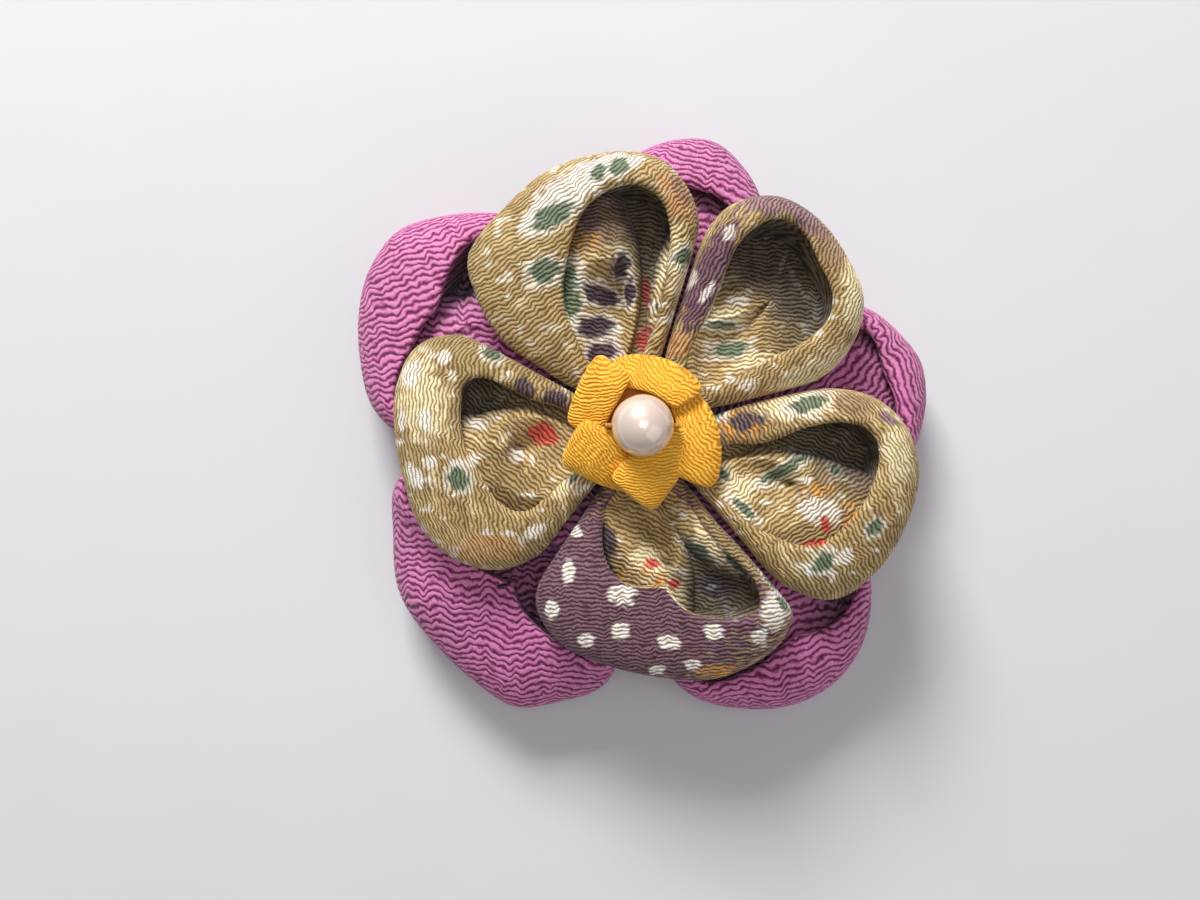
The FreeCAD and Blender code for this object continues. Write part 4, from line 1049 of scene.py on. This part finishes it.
def print_paint(form, seed):
    """The printed cloth: its ground, then its motifs in order; four of the motifs are painted shade."""

    def paint(x, y, along, across, lined):
        streak = smooth_noise(along / 2.6, across / 0.5, seed)[..., None]
        cloud = smooth_noise(x / 3.4, y / 3.4, seed + 1)[..., None]
        tint = OLIVE * (1 - cloud) + KHAKI * cloud
        tint = tint * (0.88 + 0.2 * streak) + (CREAM - tint) * np.clip(streak * 2.4 - 1.7, 0, 0.5)
        fleck = smooth_noise(x / 1.3, y / 0.9, seed + 2)[..., None]
        tint = tint + (WHITE - tint) * np.clip(fleck * 4 - 3.1, 0, 0.6)
        tint = tint + (BROWN - tint) * np.clip(1.1 - fleck * 5, 0, 0.45)
        glint = np.zeros_like(x)
        for number, mark in enumerate(form["print"]):
            here = lined if mark.side == LINING else ~lined
            if mark.side == BOTH:
                here = lined | ~lined
            for colour, grow, strength in STYLES[mark.style]:
                share = soft_spot(x, y, along, across, mark, grow, seed + 7 * number)
                share = share * here[..., None] * strength
                tint = tint * (1 - share) + colour * share
            if mark.style == SPECKLED:
                grain = smooth_noise(along / 0.5, across / 0.3, seed + 50 + number)
                share = soft_spot(x, y, along, across, mark, 1.1, seed + number)[..., 0] * here
                share = share * np.clip((grain - 0.45) * 5, 0, 1)
                tint = tint + (GOLD - tint) * share[..., None]
                glint = np.maximum(glint, share * 0.6)
        return tint, glint

    return paint


# ---- operators


def clear_selection():
    """Leaves nothing selected."""
    bpy.ops.object.select_all(action="DESELECT")


def settle():
    """Puts the place and turn of the piece just added into its mesh."""
    bpy.ops.object.transform_apply(location=True, rotation=True, scale=True)


def select_spots(piece, chosen):
    """Opens a piece in edit mode with only the vertices selected whose place is chosen."""
    bpy.ops.object.mode_set(mode="EDIT")
    bpy.ops.mesh.select_mode(type="VERT")
    bpy.ops.mesh.select_all(action="DESELECT")
    bpy.ops.object.mode_set(mode="OBJECT")
    for vertex in piece.data.vertices:
        vertex.select = chosen(vertex.co)
    bpy.ops.object.mode_set(mode="EDIT")


class FLOWERCLIP_OT_outer_petals(bpy.types.Operator):
    """Lays the five plain purple petals"""

    bl_idname = "flowerclip.outer_petals"
    bl_label = "Outer petals"

    def execute(self, context):
        # the purple crepe's painted shade colour for its valleys, then the gain and lift of its painted
        # highlight
        cloth = crepe("purple crepe", (0.20, 0.07, 0.12), 1.6, (0.10, 0.17, 0.19))
        paint = plain_paint(settings().purple)
        for number, form in enumerate(OUTER_PETALS, 1):
            petal(f"crepe_outer_petal_{number}", form, OUTER_LAYER, paint, cloth, 10 * number)
        return {"FINISHED"}


class FLOWERCLIP_OT_inner_petals(bpy.types.Operator):
    """Lays the five printed petals"""

    bl_idname = "flowerclip.inner_petals"
    bl_label = "Inner petals"

    def execute(self, context):
        # the printed crepe's painted shade colour for its valleys, then the gain and lift of its painted
        # highlight
        cloth = crepe("printed crepe", (0.36, 0.27, 0.17), 1.42, (0.12, 0.12, 0.11))
        for number, form in enumerate(INNER_PETALS, 1):
            paint = print_paint(form, number)
            petal(f"crepe_inner_petal_{number}", form, INNER_LAYER, paint, cloth, 200 + 10 * number)
        return {"FINISHED"}


class FLOWERCLIP_OT_centre(bpy.types.Operator):
    """Folds the five golden strips round the bead"""

    bl_idname = "flowerclip.centre"
    bl_label = "Folded centre"

    def execute(self, context):
        # the golden crepe's painted shade colour for its valleys, then the gain and lift of its painted
        # highlight
        cloth = crepe("golden crepe", (0.66, 0.46, 0.25), 1.06, (0.02, 0.12, 0.07))
        for number, form in enumerate(CENTRE_FOLDS, 1):
            centre_fold(number, form, cloth)
        dress(["centre_pad"], felt("golden felt", tuple(tone(176, 100, 20))))
        return {"FINISHED"}


class FLOWERCLIP_OT_bead(bpy.types.Operator):
    """Threads the pearl bead"""

    bl_idname = "flowerclip.bead"
    bl_label = "Bead"

    def execute(self, context):
        clear_selection()
        radius, bore = BEAD_RADIUS * MM, BEAD_BORE * MM
        bpy.ops.mesh.primitive_uv_sphere_add(
            segments=96, ring_count=64, radius=radius, rotation=(0, math.pi / 2, 0)
        )
        bead = context.object
        bead.name = "pearl"
        bead.location = (0, 0, BEAD_HEIGHT * MM)
        settle()
        select_spots(bead, lambda spot: math.hypot(spot.y, spot.z - BEAD_HEIGHT * MM) < bore)
        bpy.ops.mesh.delete(type="VERT")
        bpy.ops.mesh.select_non_manifold(
            use_wire=False, use_multi_face=False, use_non_contiguous=False, use_verts=False
        )
        bpy.ops.mesh.bridge_edge_loops()
        bpy.ops.object.mode_set(mode="OBJECT")
        bpy.ops.object.shade_smooth_by_angle(angle=math.radians(40))
        bead.data.materials.append(pearl("pearl lustre", tuple(settings().pearl)))
        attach(bead, "flower")
        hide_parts("pearl_bead")
        return {"FINISHED"}


class FLOWERCLIP_OT_spring(bpy.types.Operator):
    """Winds the clip's spring: a coil round the pin and a straight leg to each jaw"""

    bl_idname = "flowerclip.spring"
    bl_label = "Spring"

    def execute(self, context):
        clear_selection()
        hinge = Vector(frame["record"]["behaviour"]["joints"][0]["pos_m"])
        low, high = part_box("clip_spring")
        upper = (UPPER_LEG * MM, high[2] - hinge.z - WIRE * MM)
        lower = (LOWER_LEG * MM, low[2] - hinge.z + WIRE * MM)
        coil = COIL * MM
        start = math.atan2(upper[1], upper[0]) + math.acos(coil / math.hypot(*upper))
        end = math.atan2(lower[1], lower[0]) - math.acos(coil / math.hypot(*lower)) + COIL_TURNS * 2 * math.pi
        pitch = COIL_PITCH * MM
        length = pitch * (end - start) / (2 * math.pi)
        climb = pitch / (2 * math.pi * coil)

        def heading(angle):
            """Direction of the wire at an angle of its coil."""
            return Vector((-math.sin(angle), math.cos(angle), climb))

        first = Vector((coil * math.cos(start), coil * math.sin(start), 0))
        last = Vector((coil * math.cos(end), coil * math.sin(end), length))
        facing = heading(start).to_track_quat("Z", "Y").to_euler()
        bpy.ops.mesh.primitive_circle_add(vertices=16, radius=WIRE * MM, location=first, rotation=facing)
        wire = context.object
        wire.name = "spring_wire"
        settle()
        turns = wire.modifiers.new("turns", "SCREW")
        turns.angle, turns.screw_offset = end - start, length
        turns.steps = turns.render_steps = 150
        bpy.ops.object.modifier_apply(modifier="turns")
        for ring, angle, target, side in ((first, start, upper, -1), (last, end, lower, 1)):
            reach = math.sqrt(target[0] ** 2 + target[1] ** 2 - coil**2)
            select_spots(wire, lambda spot: (spot - ring).length < 1.02 * WIRE * MM)
            bpy.ops.mesh.extrude_region_move(TRANSFORM_OT_translate={"value": side * reach * heading(angle)})
            bpy.ops.mesh.edge_face_add()
            bpy.ops.object.mode_set(mode="OBJECT")
        select_spots(wire, lambda spot: True)
        bpy.ops.mesh.normals_make_consistent(inside=False)
        bpy.ops.object.mode_set(mode="OBJECT")
        wire.rotation_euler = (math.pi / 2, 0, 0)
        wire.location = hinge + Vector((0, length / 2, 0))
        settle()
        bpy.ops.object.shade_smooth_by_angle(angle=math.radians(40))
        wire.data.materials.append(steel("spring steel", tuple(settings().steel)))
        side = Vector((0, COIL_REACH * MM, 0))
        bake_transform(wire)
        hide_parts("clip_spring")
        return {"FINISHED"}


class FLOWERCLIP_OT_hardware(bpy.types.Operator):
    """Gives the felt, card, thread and steel pieces their finishes"""

    bl_idname = "flowerclip.hardware"
    bl_label = "Backing and clip"

    def execute(self, context):
        dress(["backing_felt", "clip_strap"], felt("felt", tuple(settings().felt)))
        dress(["base_card"], card("card", tuple(settings().card)))
        dress(["clip_fixed_jaw", "clip_lever_jaw", "clip_hinge_pin"], steel("steel", tuple(settings().steel)))
        dress(["bead_thread"], thread("golden thread", tuple(tone(200, 140, 40))))
        dress(["outer_tie_thread", "inner_tie_thread"], thread("purple thread", tuple(tone(120, 60, 110))))
        return {"FINISHED"}


class FLOWERCLIP_OT_stage(bpy.types.Operator):
    """Sets the floor, the lamps and the camera"""

    bl_idname = "flowerclip.stage"
    bl_label = "Stage"

    def execute(self, context):
        clear_selection()
        bpy.ops.mesh.primitive_plane_add(size=6.0, location=(0, 0, 0))
        floor = context.object
        floor.name = "floor"
        surface = Recipe("floor paint")
        rough = surface.node("TexNoise", None, 0, Vector=surface.place(), Scale=60.0, Detail=3.0)
        colour = tuple(settings().floor)
        pale = tuple(min(1.0, c * 1.03) for c in colour)
        surface.finish(Base_Color=surface.blend(rough, colour, pale), Roughness=0.85, Specular_IOR_Level=0.2)
        floor.data.materials.append(surface.material)
        for name, place, size, power in (
            ("key lamp", (-0.14, 0.46, 0.36), 0.22, 4.8),
            ("fill lamp", (0.42, -0.30, 0.40), 0.60, 0.7),
            ("top lamp", (0.02, 0.05, 0.75), 0.30, 1.2),
        ):
            bpy.ops.object.light_add(type="AREA", location=place)
            lamp = context.object
            lamp.name = name
            lamp.data.size = size
            lamp.data.energy = power
            lamp.rotation_euler = (-Vector(place)).to_track_quat("-Z", "Y").to_euler()
        world = bpy.data.worlds.new("studio")
        context.scene.world = world
        world.use_nodes = True
        world.node_tree.nodes["Background"].inputs["Color"].default_value = (0.97, 0.97, 1.0, 1.0)
        world.node_tree.nodes["Background"].inputs["Strength"].default_value = 0.22
        bpy.ops.object.camera_add(location=[part * MM for part in CAMERA_PLACE], rotation=(0, 0, 0))
        camera = context.object
        camera.data.sensor_width = 36.0
        camera.data.lens = CAMERA_LENS
        camera.data.clip_start = 0.01
        context.scene.camera = camera
        context.scene.view_settings.view_transform = "Standard"
        return {"FINISHED"}


class FLOWERCLIP_PT_panel(bpy.types.Panel):
    """The flower clip's pieces and values"""

    bl_label = "Flower clip"
    bl_idname = "FLOWERCLIP_PT_panel"
    bl_space_type = "VIEW_3D"
    bl_region_type = "UI"
    bl_category = "Flower clip"

    def draw(self, context):
        for operator in OPERATORS:
            self.layout.operator(operator.bl_idname)
        for name in FlowerClipSettings.__annotations__:
            self.layout.prop(settings(), name)


OPERATORS = (
    FLOWERCLIP_OT_outer_petals,
    FLOWERCLIP_OT_inner_petals,
    FLOWERCLIP_OT_centre,
    FLOWERCLIP_OT_bead,
    FLOWERCLIP_OT_spring,
    FLOWERCLIP_OT_hardware,
    FLOWERCLIP_OT_stage,
)
CLASSES = (FlowerClipSettings, *OPERATORS, FLOWERCLIP_PT_panel)


def register():
    """Adds the classes and the scene's settings."""
    for item in CLASSES:
        bpy.utils.register_class(item)
    bpy.types.Scene.flower_clip = PointerProperty(type=FlowerClipSettings)


def unregister():
    """Takes the settings and the classes away again."""
    del bpy.types.Scene.flower_clip
    for item in reversed(CLASSES):
        bpy.utils.unregister_class(item)


def main():
    """Builds every piece in order."""
    register()
    bpy.ops.flowerclip.outer_petals()
    bpy.ops.flowerclip.inner_petals()
    bpy.ops.flowerclip.centre()
    bpy.ops.flowerclip.bead()
    bpy.ops.flowerclip.spring()
    bpy.ops.flowerclip.hardware()
    bpy.ops.flowerclip.stage()


if __name__ == "__main__":
    main()
